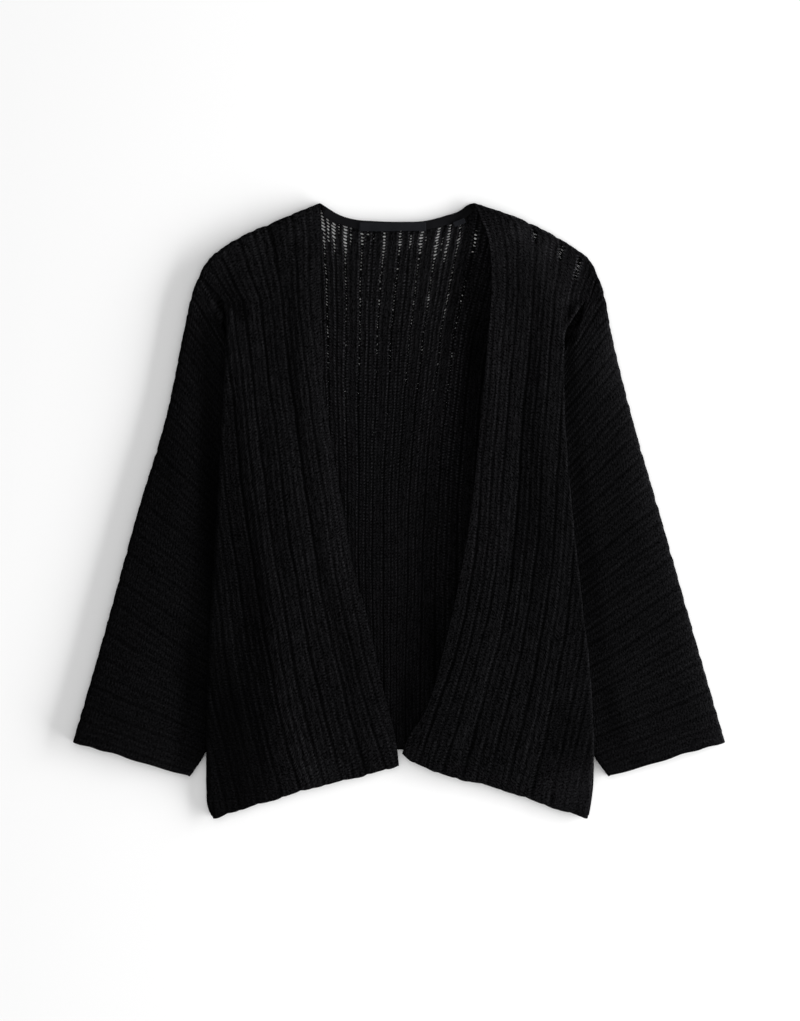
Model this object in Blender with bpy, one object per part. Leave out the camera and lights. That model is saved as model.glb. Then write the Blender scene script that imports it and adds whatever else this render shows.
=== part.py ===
"""Open-front ribbed knit cardigan with dolman sleeves, laid flat on its back.

The knit is a wall of even thickness. The back panel lies on the surface, and each front
panel lies on it. Both sleeves are cut in one with the panels: the over-arm and underarm
seams join a front half to the back half. The body's sides are folded over the sleeves.

Tables and sizes are in millimetres. X runs across, Y from the hem to the neck, Z up.
"right" and "left" are the wearer's sides, so the right side lies towards -X, and a
table's "out" is the distance from the centre line towards that side.
"""

import math

import bmesh
import bpy
import numpy as np

MM = 0.001

# Driving dimensions
WALL = 2.6  # thickness of the ribbed knit
SEAM_GAP = 0.3  # between two pieces where a seam joins them
NECK_SEAM_HEIGHT = 2.9  # height of the shoulder seam where it starts at the neck
ARM_SEAM_HEIGHT = 4.4  # height of the over-arm seam along the sleeve
UNDERARM_SEAM_HEIGHT = 3.4  # height of the underarm seam, pressed flat by the body
SLEEVE_CROWN = 2 * ARM_SEAM_HEIGHT - WALL / 2  # middle of the wall on the sleeve's top
SEAM_RISE_LENGTH = 45.0  # way along the shoulder over which the seam rises
BODY_RISE_LENGTH = 75.0  # way in from the shoulder seam to the body's full height
SIDE_FOLD_RADIUS = 2.5  # middle of the wall, where the body's side folds over the sleeve
SIDE_FOLD_END = -75.0  # degrees below level at which the folded side ends
SIDE_FOLD_START = 30.0  # way below the sleeve's top over which the side fold forms
YOKE_FLANK = 0.72  # share of the way across from which the yoke levels to the sleeve
YOKE_EASE = 14.0  # way over which the yoke levels to the sleeve beside the fold
BACK_YOKE_Y = 190.0  # y at the centre of the back where its body rows begin
SEAM_EASE = 24.0  # way from the top of the fold over which an edge starts to curl
BACK_SLIT = 2.6  # between the back body and the back of the sleeve
BACK_HEM_INSET = 3.0  # back hem inside the front hem
BACK_SLIT_START = 0.085  # share of the underarm line where the back's slit starts
BACK_CENTRE_HEM = -263.0  # y of the back's hem at the centre, where the fronts part
CUFF_LEVEL = -266.0  # y where the sleeve comes out from under the body's side
SIDE_DROP = 34.0  # way below that level over which the side comes down to its seam
SIDE_SEAM_HEIGHT = 3.2  # height of the side seam below the cuff
FLANK_REACH = (4.0, 18.0)  # the side is at its full height from before its top to below it
FLANK_EASE = 26.0  # way below the yoke over which the flank leaves the sleeve's height
CENTRE_HEM_REACH = 40.0  # half the width over which the back hem dips at the centre
CROWN_SPAN = (0.3, 0.7)  # shares of the way across a front between which its crown lies
FOLD_FADE = 0.2  # share of a fold's length over which each end fades out
LAYER_CLEARANCE = 0.1  # least air between a front and the back, beyond a seam's gap
SEAM_LIFT = 0.6 * SEAM_GAP  # from a seam's height to the nearer face of the wall
LINE_POINTS = 600  # points along a drawn line
SHOULDER_SHARE = 0.232  # share of the over-arm line that the body's ribs reach

TAPE_WIDTH = 9.0
TAPE_THICK = 0.8
TAPE_INSET = 0.8  # below the neckline
TAPE_ENDS = (-79.5, 77.0)  # x
TAPE_STATIONS = 19
LABEL_SIZE = (73.0, 9.6)
LABEL_CENTRE = (-6.9, 311.8)
LABEL_THICK = 0.5
TAB_SIZE = (13.5, 8.0)
TAB_CENTRE = (65.0, 317.2)
TAB_TURN = 16.0  # degrees

OVERARM = {
    "right": (
        # place, out, y
        ("neck point", 87.5, 338.5),
        ("shoulder slope", 133.1, 319.6),
        ("shoulder point", 181.5, 297.2),
        ("shoulder turn", 210.0, 275.6),
        ("upper arm", 226.5, 242.6),
        ("arm", 236.5, 198.6),
        ("elbow", 257.4, 99.6),
        ("forearm", 287.1, 0.6),
        ("lower forearm", 323.4, -131.5),
        ("cuff", 358.6, -253.6),
    ),
    "left": (
        # place, out, y
        ("neck point", 83.6, 338.5),
        ("shoulder slope", 137.5, 319.6),
        ("shoulder point", 179.3, 297.6),
        ("shoulder turn", 209.5, 275.6),
        ("upper arm", 223.9, 245.0),
        ("arm", 233.2, 198.6),
        ("elbow", 257.4, 99.6),
        ("forearm", 286.0, 0.6),
        ("lower forearm", 323.4, -131.5),
        ("cuff", 358.6, -253.6),
    ),
}

UNDERARM = {
    "right": (
        # place, out, y
        ("top of the fold", 192.5, 225.0),
        ("beside the fold", 192.2, 203.0),
        ("under the side", 182.5, 172.0),
        ("upper side", 179.5, 100.0),
        ("middle", 184.0, 0.0),
        ("lower side", 190.5, -110.0),
        ("above the cuff", 198.5, -225.0),
        ("out of the side", 212.8, -268.0),
        ("cuff", 229.9, -293.2),
    ),
    "left": (
        # place, out, y
        ("top of the fold", 205.7, 232.0),
        ("beside the fold", 198.5, 212.5),
        ("under the side", 177.5, 172.0),
        ("upper side", 167.5, 100.0),
        ("middle", 174.0, 0.0),
        ("lower side", 184.5, -110.0),
        ("above the cuff", 198.0, -225.0),
        ("out of the side", 212.8, -268.0),
        ("cuff", 229.9, -293.2),
    ),
}

FRONT_EDGE = {
    "right": (
        # y, out
        (338.5, 87.5),
        (322.0, 85.8),
        (231.0, 85.8),
        (169.0, 83.0),
        (112.0, 79.6),
        (66.0, 72.6),
        (3.0, 61.6),
        (-62.0, 50.0),
        (-117.0, 34.6),
        (-186.0, 19.8),
        (-260.0, 2.2),
        (-281.0, 0.0),
    ),
    "left": (
        # y, out
        (338.5, 83.6),
        (324.0, 88.8),
        (298.0, 98.0),
        (262.0, 101.4),
        (169.0, 95.7),
        (75.0, 86.9),
        (-7.0, 78.1),
        (-98.0, 61.6),
        (-168.0, 45.1),
        (-200.0, 36.3),
        (-225.0, 26.4),
        (-245.0, 12.6),
        (-266.8, 3.3),
    ),
}

BODY_SIDE = {
    "right": (
        # y, out
        (225.0, 192.5),
        (212.0, 190.0),
        (196.0, 190.4),
        (105.0, 194.7),
        (3.0, 200.2),
        (-98.0, 206.8),
        (-208.0, 211.2),
        (-304.0, 211.2),
        (-326.0, 209.6),
        (-338.3, 204.5),
    ),
    "left": (
        # y, out
        (232.0, 205.7),
        (215.0, 194.4),
        (196.0, 183.6),
        (172.0, 182.2),
        (105.0, 182.6),
        (3.0, 190.3),
        (-98.0, 201.3),
        (-190.0, 211.2),
        (-318.0, 211.2),
        (-338.0, 208.0),
    ),
}

HEM = {
    "right": (
        # out, y
        (0.0, -281.0),
        (50.0, -293.6),
        (100.0, -306.2),
        (150.0, -320.6),
        (204.5, -338.3),
    ),
    "left": (
        # out, y
        (3.3, -266.8),
        (11.0, -273.4),
        (39.6, -286.6),
        (100.0, -302.5),
        (150.0, -318.9),
        (208.0, -338.0),
    ),
}

NECKLINE = (
    # x, y
    (-87.5, 338.5),
    (-64.0, 324.4),
    (-47.3, 319.8),
    (-29.7, 318.4),
    (1.1, 317.4),
    (28.6, 318.5),
    (50.6, 324.0),
    (67.1, 329.8),
    (75.9, 336.2),
    (83.6, 338.5),
)

HEIGHTS = {
    # Height of the middle of the wall. y, at the front edge, on the crown, at the side
    "right": (
        (330.0, 4.9, 5.6, 6.5),
        (290.0, 6.6, 9.0, 9.0),
        (225.0, 8.8, 12.4, 13.2),
        (120.0, 10.8, 15.3, 13.4),
        (0.0, 11.4, 16.0, 13.4),
        (-120.0, 10.0, 15.4, 13.4),
        (-215.0, 6.8, 12.4, 13.4),
        (-268.0, 4.8, 8.2, 13.2),
        (-306.0, 4.6, 5.2, 6.0),
        (-340.0, 4.6, 4.7, 5.3),
    ),
    "left": (
        (330.0, 4.9, 5.6, 6.5),
        (290.0, 8.0, 9.2, 9.0),
        (225.0, 12.4, 13.4, 13.2),
        (120.0, 15.4, 16.6, 13.4),
        (0.0, 16.2, 17.0, 13.4),
        (-120.0, 15.2, 16.2, 13.4),
        (-200.0, 10.6, 13.0, 13.4),
        (-268.0, 4.8, 8.2, 13.2),
        (-306.0, 4.6, 5.2, 6.0),
        (-340.0, 4.6, 4.7, 5.3),
    ),
}

FOLDS = {
    # Valleys along the ribs: from the front edge at the top and bottom, y at the top and
    # bottom, half the width, depth
    "right": (
        (36.0, 40.0, 312.0, -285.0, 9.0, 2.6),
        (74.0, 84.0, 130.0, -110.0, 8.0, 2.0),
        (104.0, 114.0, 30.0, -135.0, 8.0, 1.8),
        (127.0, 135.0, -80.0, -245.0, 9.0, 1.6),
        (146.0, 158.0, -100.0, -310.0, 9.0, 2.2),
    ),
    "left": (
        (46.0, 50.0, 285.0, -105.0, 10.0, 2.2),
        (85.0, 86.0, 75.0, -75.0, 9.0, 1.6),
        (60.0, 66.0, -90.0, -290.0, 10.0, 1.5),
    ),
}

# How finely the panels are divided
ROLL_ANGLES = (0.0, 32.0, 62.0, 90.0)  # degrees round a seam's edge, from the seam up
FOLD_ANGLES = (90.0, 40.0, -15.0, SIDE_FOLD_END)  # degrees round the body's side fold
FRONT_COLUMNS = 17
SLEEVE_COLUMNS = 18
BACK_NECK_COLUMNS = 4
BACK_SHOULDER_COLUMNS = 8
SLEEVE_MIDDLE = {
    # ways out from the underarm edge, and how far the sleeve has sunk there
    "front": ((76.0, 0.0), (46.0, 0.0), (32.0, 0.5), (20.0, 1.0)),
    "back": ((66.0, 0.0), (30.0, 0.0)),
}
SLEEVE_CROWDING = 1.25  # lines of the sleeve crowd towards the shoulder by this power
SLEEVE_FULL_SPAN = 104.0  # sleeve width at which those ways are not scaled down
FRONT_BODY_ROWS = (
    # shares of the way from the yoke to the hem
    (0.012, 0.028, 0.05, 0.078, 0.115, 0.165, 0.225, 0.295, 0.365, 0.44, 0.515)
    + (0.59, 0.66, 0.73, 0.79, 0.838, 0.872, 0.902, 0.93, 0.965, 1.0)
)
BACK_BODY_ROWS = (0.03, 0.08, 0.19, 0.38, 0.58, 0.77, 0.86, 0.93, 1.0)

KNIT_COLOUR = (0.0045, 0.0045, 0.0058, 1.0)
TAPE_COLOUR = (0.003, 0.003, 0.0036, 1.0)
LABEL_COLOUR = (0.016, 0.017, 0.02, 1.0)
TAB_COLOUR = (0.022, 0.023, 0.027, 1.0)
KNIT_ROUGHNESS = 0.9
TAPE_ROUGHNESS = 0.75
LABEL_ROUGHNESS = 0.6

SIGN = {"right": -1.0, "left": 1.0}
UPRIGHT = (0.0, 0.0, 1.0)


def smooth(value):
    """Eased step from 0 to 1."""
    value = np.clip(value, 0.0, 1.0)
    return value * value * (3.0 - 2.0 * value)


def through(places, values, at):
    """Smooth curve through a table's values, read at `at`."""
    places = np.asarray(places, float)
    values = np.asarray(values, float)
    if places[0] > places[-1]:
        places, values = places[::-1], values[::-1]
    steps = np.diff(places)
    slopes = np.diff(values) / steps
    inner = (slopes[:-1] * steps[1:] + slopes[1:] * steps[:-1]) / (steps[:-1] + steps[1:])
    turns = np.concatenate(([slopes[0]], inner, [slopes[-1]]))
    at = np.clip(at, places[0], places[-1])
    cell = np.clip(np.searchsorted(places, at, side="right") - 1, 0, len(steps) - 1)
    step = steps[cell]
    f = (at - places[cell]) / step
    start = (1 + 2 * f) * (1 - f) ** 2 * values[cell] + f * (1 - f) ** 2 * step * turns[cell]
    end = f**2 * (3 - 2 * f) * values[cell + 1] - f**2 * (1 - f) * step * turns[cell + 1]
    return start + end


def column(rows, number):
    return [row[number] for row in rows]


class Line:
    """A smooth line in plan through points, read by its share of length."""

    def __init__(self, xs, ys):
        points = np.column_stack([xs, ys]).astype(float)
        chords = np.linalg.norm(np.diff(points, axis=0), axis=1)
        places = np.concatenate([[0.0], np.cumsum(chords)])
        fine = np.linspace(0.0, places[-1], LINE_POINTS)
        self.points = np.column_stack(
            [through(places, points[:, 0], fine), through(places, points[:, 1], fine)]
        )
        lengths = np.linalg.norm(np.diff(self.points, axis=0), axis=1)
        self.places = np.concatenate([[0.0], np.cumsum(lengths)])
        self.length = self.places[-1]

    def at(self, share):
        way = np.asarray(share) * self.length
        x = np.interp(way, self.places, self.points[:, 0])
        y = np.interp(way, self.places, self.points[:, 1])
        return np.array([x, y])

    def direction(self, share):
        step = self.at(min(share + 0.002, 1.0)) - self.at(max(share - 0.002, 0.0))
        return step / np.linalg.norm(step)


def overarm(side):
    rows = OVERARM[side]
    return Line(column(rows, 1), column(rows, 2))


def underarm(side):
    rows = UNDERARM[side]
    return Line(column(rows, 1), column(rows, 2))


def front_edge(side, y):
    rows = FRONT_EDGE[side]
    return through(column(rows, 0), column(rows, 1), y)


def body_side(side, y):
    rows = BODY_SIDE[side]
    return through(column(rows, 0), column(rows, 1), y)


def hem(side, out):
    rows = HEM[side]
    return through(column(rows, 0), column(rows, 1), out)


def seam_height(way):
    """Height of the shoulder and over-arm seam, `way` along it from the neck."""
    rise = smooth(way / SEAM_RISE_LENGTH)
    return NECK_SEAM_HEIGHT + (ARM_SEAM_HEIGHT - NECK_SEAM_HEIGHT) * rise


def inward_of(direction, towards):
    """Unit vector across `direction`, on the side where `towards` points."""
    across = np.array([-direction[1], direction[0]])
    return across if across @ towards > 0 else -across


def body_height(side, out, y, share):
    """Height of the middle of the wall on a front, folds included."""
    rows = HEIGHTS[side]
    places = column(rows, 0)
    edge, crown, flank = (through(places, column(rows, n), y) for n in (1, 2, 3))
    height = through((0.0, *CROWN_SPAN, 1.0), (edge, crown, crown, flank), share)
    for top_way, low_way, top, low, half, depth in FOLDS[side]:
        down = (top - y) / (top - low)
        centre = top_way + (low_way - top_way) * np.clip(down, 0.0, 1.0)
        ends = smooth(down / FOLD_FADE) * smooth((1.0 - down) / FOLD_FADE)
        across = (out - front_edge(side, y) - centre) / half
        height = height - depth * ends * math.exp(-across * across)
    return max(height, WALL + SEAM_GAP + WALL / 2 + LAYER_CLEARANCE)


class Panel:
    """Points on the middle of a wall, with their normals and faces."""

    def __init__(self):
        self.points = []
        self.normals = []
        self.numbers = {}
        self.faces = []

    def add(self, key, point, side, normal=None):
        """A point, and its normal where one is known, in a side's own sense."""
        self.numbers[key] = len(self.points)
        self.points.append(np.asarray(point, float))
        if normal is not None:
            normal = np.array([SIGN[side] * normal[0], normal[1], normal[2]])
        self.normals.append(normal)

    def same(self, key, other):
        self.numbers[key] = self.numbers[other]

    def start_from(self, block, other, column_number, rows):
        """Begin a block on a column of another block."""
        for i in range(rows + 1):
            self.same((block, i, 0), (other, i, column_number))

    def grid(self, block, rows, columns, side):
        for i in range(rows):
            for j in range(columns):
                corners = ((i, j), (i + 1, j), (i + 1, j + 1), (i, j + 1))
                face = [self.numbers[(block, *corner)] for corner in corners]
                self.faces.append(face if side == "left" else face[::-1])

    def solid(self, name, thickness, material):
        points = np.array(self.points)
        soft = np.zeros_like(points)
        for face in self.faces:
            a, b, c, d = points[face]
            soft[face] += np.cross(c - a, d - b)
        for number, normal in enumerate(self.normals):
            if normal is not None:
                soft[number] = normal
        soft /= np.linalg.norm(soft, axis=1)[:, None]
        mesh = bmesh.new()
        upper = [mesh.verts.new(point * MM) for point in points + soft * thickness / 2]
        lower = [mesh.verts.new(point * MM) for point in points - soft * thickness / 2]
        used = {}
        for face in self.faces:
            mesh.faces.new([upper[n] for n in face])
            mesh.faces.new([lower[n] for n in reversed(face)])
            for start, end in zip(face, face[1:] + face[:1]):
                used[(start, end)] = True
        for start, end in used:
            if (end, start) not in used:
                mesh.faces.new([upper[end], upper[start], lower[start], lower[end]])
        bmesh.ops.triangulate(mesh, faces=mesh.faces[:], quad_method="SHORT_EDGE")
        return placed(name, mesh, material)


def placed(name, mesh, material):
    data = bpy.data.meshes.new(name)
    mesh.to_mesh(data)
    mesh.free()
    data.materials.append(material)
    data.shade_smooth()
    data.set_sharp_from_angle(angle=math.radians(50.0))
    piece = bpy.data.objects.new(name, data)
    bpy.context.scene.collection.objects.link(piece)
    return piece


def finish(name, colour, roughness):
    material = bpy.data.materials.new(name)
    material.use_nodes = True
    shader = material.node_tree.nodes["Principled BSDF"]
    shader.inputs["Base Color"].default_value = colour
    shader.inputs["Roughness"].default_value = roughness
    shader.inputs["Metallic"].default_value = 0.0
    return material


def rolled(start, inward, angle, seam, part, share):
    """Point, height and normal on a wall's edge that curls round to meet a seam.

    The front comes down to the seam and the back comes up to it. `share` is 1 where the
    edge curls fully and 0 where it lies flat.
    """
    rise = 1.0 if part == "front" else -1.0
    radius = seam - WALL / 2
    turn = max(math.radians(angle), math.asin(SEAM_LIFT / radius))
    curl_way = WALL / 2 + radius * (1.0 - math.cos(turn))
    flat_way = (WALL / 2 + radius) * angle / ROLL_ANGLES[-1]
    way = flat_way + (curl_way - flat_way) * share
    level = seam + rise * radius * (1.0 - share + share * math.sin(turn))
    facing = math.radians(angle)
    lean = -rise * math.cos(facing) * share
    upright = math.sin(facing) * share + 1.0 - share
    normal = np.array([inward[0] * lean, inward[1] * lean, upright])
    return start + inward * way, level, normal


def mirrored(side, plan, level):
    return SIGN[side] * plan[0], plan[1], level


def sleeve_line(panel, block, j, side, part, seam_share, edge_share, closed):
    """One line of points across half a sleeve, from the over-arm to the underarm seam."""
    arm, under = overarm(side), underarm(side)
    start, end = arm.at(seam_share), under.at(edge_share)
    inward = inward_of(arm.direction(seam_share), end - start)
    outward = inward_of(under.direction(edge_share), start - end)
    seam = seam_height(seam_share * arm.length)
    first = [rolled(start, inward, angle, seam, part, 1.0) for angle in ROLL_ANGLES]
    last = [
        rolled(end, outward, angle, UNDERARM_SEAM_HEIGHT, part, closed)
        for angle in ROLL_ANGLES[::-1]
    ]
    crown, sunk = first[-1][1], last[0][1]
    line = list(first)
    span = np.linalg.norm(last[0][0] - first[-1][0])
    scale = min(1.0, span / SLEEVE_FULL_SPAN)
    for way, dip in SLEEVE_MIDDLE[part]:
        plan = last[0][0] + (first[-1][0] - last[0][0]) * way * scale / span
        line.append((plan, crown + (sunk - crown) * dip * closed, None))
    for plan, level, normal in last:
        leaning = normal * closed + np.array([0.0, 0.0, 1.0 - closed])
        line.append((plan, crown + (level - crown) * closed, leaning))
    for i, (plan, level, normal) in enumerate(line):
        panel.add((block, i, j), mirrored(side, plan, level), side, normal)


def yoke_rows(part):
    """Rows across a sleeve, and so down a panel's yoke as well."""
    return 2 * len(ROLL_ANGLES) + len(SLEEVE_MIDDLE[part]) - 1


def sleeve_half(panel, side, part, block, edge_start):
    """Half of a sleeve, whose first line is already the last yoke column of the body."""
    for j in range(1, SLEEVE_COLUMNS + 1):
        share = (j / SLEEVE_COLUMNS) ** SLEEVE_CROWDING
        seam_share = SHOULDER_SHARE + (1.0 - SHOULDER_SHARE) * share
        edge_share = edge_start + (1.0 - edge_start) * share
        closed = smooth(share * underarm(side).length / SEAM_EASE)
        sleeve_line(panel, block, j, side, part, seam_share, edge_share, closed)
    panel.grid(block, yoke_rows(part), SLEEVE_COLUMNS, side)


def front_yoke(panel, side, rows):
    """From the shoulder seam down to the level where the side's fold begins."""
    arm, corner = overarm(side), underarm(side).at(0.0)
    rolls = len(ROLL_ANGLES)
    for j in range(FRONT_COLUMNS + 1):
        share = j / FRONT_COLUMNS
        way = SHOULDER_SHARE * share
        start = arm.at(way)
        edge = front_edge(side, corner[1])
        end = np.array([edge + (corner[0] - edge) * share, corner[1]])
        inward = inward_of(arm.direction(way), end - start)
        seam = seam_height(way * arm.length)
        for i, angle in enumerate(ROLL_ANGLES):
            plan, crown, normal = rolled(start, inward, angle, seam, "front", 1.0)
            panel.add(("body", i, j), mirrored(side, plan, crown), side, normal)
        for i in range(rolls, rows + 1):
            here = plan + (end - plan) * (i - rolls + 1) / (rows - rolls + 1)
            straight = plan[0] + (edge - plan[0]) * (i - rolls + 1) / (rows - rolls + 1)
            if j == 0:
                here[0] = front_edge(side, here[1])
            else:
                here[0] += (front_edge(side, here[1]) - straight) * (1.0 - share) ** 2
            depth = np.linalg.norm(here - start)
            full = body_height(side, here[0], here[1], share)
            full += (SLEEVE_CROWN - full) * smooth((share - YOKE_FLANK) / (1.0 - YOKE_FLANK))
            reach = YOKE_EASE if j == FRONT_COLUMNS else BODY_RISE_LENGTH
            level = crown + (full - crown) * smooth(depth / reach)
            panel.add(("body", i, j), mirrored(side, here, level), side)


def side_line(side, y, below):
    """The body's side at y: points round its fold, from the top of the wall outwards."""
    flank = through(column(HEIGHTS[side], 0), column(HEIGHTS[side], 3), y)
    reached = smooth((below + FLANK_REACH[0]) / sum(FLANK_REACH))
    flank = SLEEVE_CROWN + (flank - SLEEVE_CROWN) * reached
    formed = smooth(below / SIDE_FOLD_START)
    free = smooth((CUFF_LEVEL - y) / SIDE_DROP)
    here = np.array([body_side(side, y), y])
    seam_radius = max(flank - SIDE_SEAM_HEIGHT, WALL / 2)
    line = []
    for fold_angle, seam_angle in zip(FOLD_ANGLES, ROLL_ANGLES[::-1]):
        place, facing = np.zeros(3), np.zeros(3)
        for angle, radius, share in (
            (fold_angle, SIDE_FOLD_RADIUS, 1.0 - free),
            (seam_angle, seam_radius, free),
        ):
            turn = math.radians(angle)
            out = radius * (math.cos(turn) - 1.0) - WALL / 2
            rise = SEAM_LIFT if angle == ROLL_ANGLES[0] else radius * math.sin(turn)
            place += share * np.array([out, 0.0, rise - radius])
            facing += share * np.array([math.cos(turn), 0.0, math.sin(turn)])
        facing = facing * formed + np.array([0.0, 0.0, 1.0 - formed])
        line.append((here + place[:2], flank + place[2], facing, formed))
    return line


def front_body(panel, side, yoke_row):
    """From the yoke down to the hem, with its side folded over the sleeve."""
    corner = underarm(side).at(0.0)
    plain = FRONT_COLUMNS + 1 - len(FOLD_ANGLES)
    low_out, low_y = FRONT_EDGE[side][-1][1], BODY_SIDE[side][-1][0]
    side_out = BODY_SIDE[side][-1][1]
    for row, down in enumerate(FRONT_BODY_ROWS):
        i = yoke_row + 1 + row
        side_y = corner[1] + (low_y - corner[1]) * down
        below = corner[1] - side_y
        line = side_line(side, side_y, below)
        edge = front_edge(side, side_y)
        for step, (curl, level, facing, formed) in enumerate(line):
            j = plain + step
            out = edge + (body_side(side, side_y) - edge) * j / FRONT_COLUMNS
            flat = np.array([out, side_y])
            plan = flat + (curl - flat) * formed
            flank = line[0][1]
            level = flank + (level - flank) * formed
            if step == 0:
                inner = plan
                facing = UPRIGHT if side_y < CUFF_LEVEL - SIDE_DROP else None
            panel.add(("body", i, j), mirrored(side, plan, level), side, facing)
        for j in range(plain):
            share = j / plain
            low = hem(side, low_out + (side_out - low_out) * share)
            y = corner[1] + (low - corner[1]) * down + (inner[1] - side_y) * share
            edge = front_edge(side, y)
            out = edge + (inner[0] - edge) * share
            level = body_height(side, out, y, share)
            flank = smooth((share - YOKE_FLANK) / (1.0 - YOKE_FLANK))
            level += (SLEEVE_CROWN - level) * flank * (1.0 - smooth(below / FLANK_EASE))
            panel.add(("body", i, j), mirrored(side, (out, y), level), side)


def front_panel(side, material):
    panel = Panel()
    yoke_row = yoke_rows("front")
    front_yoke(panel, side, yoke_row)
    front_body(panel, side, yoke_row)
    panel.grid("body", yoke_row + len(FRONT_BODY_ROWS), FRONT_COLUMNS, side)
    panel.start_from("sleeve", "body", FRONT_COLUMNS, yoke_row)
    sleeve_half(panel, side, "front", "sleeve", 0.0)
    return panel.solid(f"{side}_front", WALL, material)


def back_side(side, y):
    """Out to the back body's edge: beside the sleeve, then beside the front's side."""
    under = underarm(side)
    inner = np.interp(-y, -under.points[:, 1], under.points[:, 0]) - BACK_SLIT
    return min(inner, body_side(side, y))


def back_start(side, j):
    """Start of a line down the back: on the neckline, then on the shoulder seam."""
    arm = overarm(side)
    if j <= BACK_NECK_COLUMNS:
        out = OVERARM[side][0][1] * j / BACK_NECK_COLUMNS
        y = through(column(NECKLINE, 0), column(NECKLINE, 1), SIGN[side] * out)
        return np.array([out, y]), np.array([0.0, -1.0]), NECK_SEAM_HEIGHT, 0.0
    way = SHOULDER_SHARE * (j - BACK_NECK_COLUMNS) / BACK_SHOULDER_COLUMNS
    inward = inward_of(arm.direction(way), np.array([-0.1, -1.0]))
    return arm.at(way), inward, seam_height(way * arm.length), 1.0


def back_half(panel, side):
    """Half of the back, with the back of its sleeve, outwards from the centre line."""
    body, columns = "body_" + side, BACK_NECK_COLUMNS + BACK_SHOULDER_COLUMNS
    rolls = len(ROLL_ANGLES)
    yoke_row = yoke_rows("back")
    rows = yoke_row + len(BACK_BODY_ROWS)
    corner = underarm(side).at(BACK_SLIT_START) - np.array([BACK_SLIT / 2, 0.0])
    plain = columns + 1 - rolls
    first = 0
    if side == "left":
        first = 1
        panel.start_from(body, "body_right", 0, rows)
    for j in range(first, columns + 1):
        start, inward, seam, curl = back_start(side, j)
        share = j / columns
        end = np.array([corner[0] * share, BACK_YOKE_Y + (corner[1] - BACK_YOKE_Y) * share])
        for i, angle in enumerate(ROLL_ANGLES):
            plan, level, facing = rolled(start, inward, angle, seam, "back", curl)
            panel.add((body, i, j), mirrored(side, plan, level), side, facing)
        for i in range(rolls, yoke_row + 1):
            here = plan + (end - plan) * (i - rolls + 1) / (yoke_row - rolls + 1)
            panel.add((body, i, j), mirrored(side, here, WALL / 2), side, UPRIGHT)
    for row, down in enumerate(BACK_BODY_ROWS):
        i = yoke_row + 1 + row
        low_y = BODY_SIDE[side][-1][0] + BACK_HEM_INSET
        side_y = corner[1] + (low_y - corner[1]) * down
        edge = np.array([back_side(side, side_y), side_y])
        curl = smooth((CUFF_LEVEL - SIDE_DROP * 0.5 - side_y) / (SIDE_DROP * 0.5))
        inward = np.array([-1.0, 0.0])
        curled = [
            rolled(edge, inward, angle, SIDE_SEAM_HEIGHT, "back", curl)
            for angle in ROLL_ANGLES[::-1]
        ]
        for j in range(first, plain):
            share = j / plain
            low_out = (back_side(side, low_y) - SIDE_SEAM_HEIGHT) * share
            low = hem(side, low_out) + BACK_HEM_INSET
            low += (BACK_CENTRE_HEM - low) * (1.0 - smooth(low_out / CENTRE_HEM_REACH))
            top_y = BACK_YOKE_Y + (corner[1] - BACK_YOKE_Y) * share
            plan = np.array([curled[0][0][0] * share, top_y + (low - top_y) * down])
            panel.add((body, i, j), mirrored(side, plan, WALL / 2), side, UPRIGHT)
        for step, (plan, level, facing) in enumerate(curled):
            panel.add((body, i, plain + step), mirrored(side, plan, level), side, facing)
    panel.grid(body, rows, columns, side)
    panel.start_from("sleeve_" + side, body, columns, yoke_row)
    sleeve_half(panel, side, "back", "sleeve_" + side, BACK_SLIT_START)


def back_panel(material):
    panel = Panel()
    back_half(panel, "right")
    back_half(panel, "left")
    return panel.solid("back", WALL, material)


def neck_tape(material):
    """Narrow tape along the back neck, on the inside of the back panel."""
    panel = Panel()
    xs, ys = column(NECKLINE, 0), column(NECKLINE, 1)
    stations = np.linspace(TAPE_ENDS[0], TAPE_ENDS[1], TAPE_STATIONS)
    level = WALL + SEAM_GAP + TAPE_THICK / 2
    for i, x in enumerate(stations):
        here = np.array([x, through(xs, ys, x)])
        slope = through(xs, ys, x + 0.5) - through(xs, ys, x - 0.5)
        down = np.array([slope, -1.0]) / math.hypot(slope, 1.0)
        for j, way in enumerate((TAPE_INSET, TAPE_INSET + TAPE_WIDTH)):
            plan = here + down * way
            panel.add(("tape", i, j), (plan[0], plan[1], level), "left", UPRIGHT)
    panel.grid("tape", len(stations) - 1, 1, "right")
    return panel.solid("neck_tape", TAPE_THICK, material)


def sewn_patch(name, centre, size, turn, thickness, material):
    """Small flat patch of woven cloth lying on the neck tape."""
    panel = Panel()
    level = WALL + SEAM_GAP + TAPE_THICK + SEAM_GAP + thickness / 2
    angle = math.radians(turn)
    along = np.array([math.cos(angle), math.sin(angle)])
    across = np.array([-along[1], along[0]])
    for i, step in enumerate((-0.5, 0.0, 0.5)):
        for j, side_step in enumerate((-0.5, 0.5)):
            plan = np.array(centre) + along * size[0] * step + across * size[1] * side_step
            panel.add((name, i, j), (plan[0], plan[1], level), "left", UPRIGHT)
    panel.grid(name, 2, 1, "left")
    return panel.solid(name, thickness, material)


def centre_on_origin(pieces):
    """Put the origin under the middle of the whole cardigan's box."""
    corners = np.array([vertex.co[:] for piece in pieces for vertex in piece.data.vertices])
    low, high = corners.min(axis=0), corners.max(axis=0)
    shift = np.array([(low[0] + high[0]) / 2, (low[1] + high[1]) / 2, low[2]])
    for piece in pieces:
        for vertex in piece.data.vertices:
            vertex.co = [vertex.co[n] - shift[n] for n in range(3)]


for existing in list(bpy.data.objects):
    bpy.data.objects.remove(existing, do_unlink=True)

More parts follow.
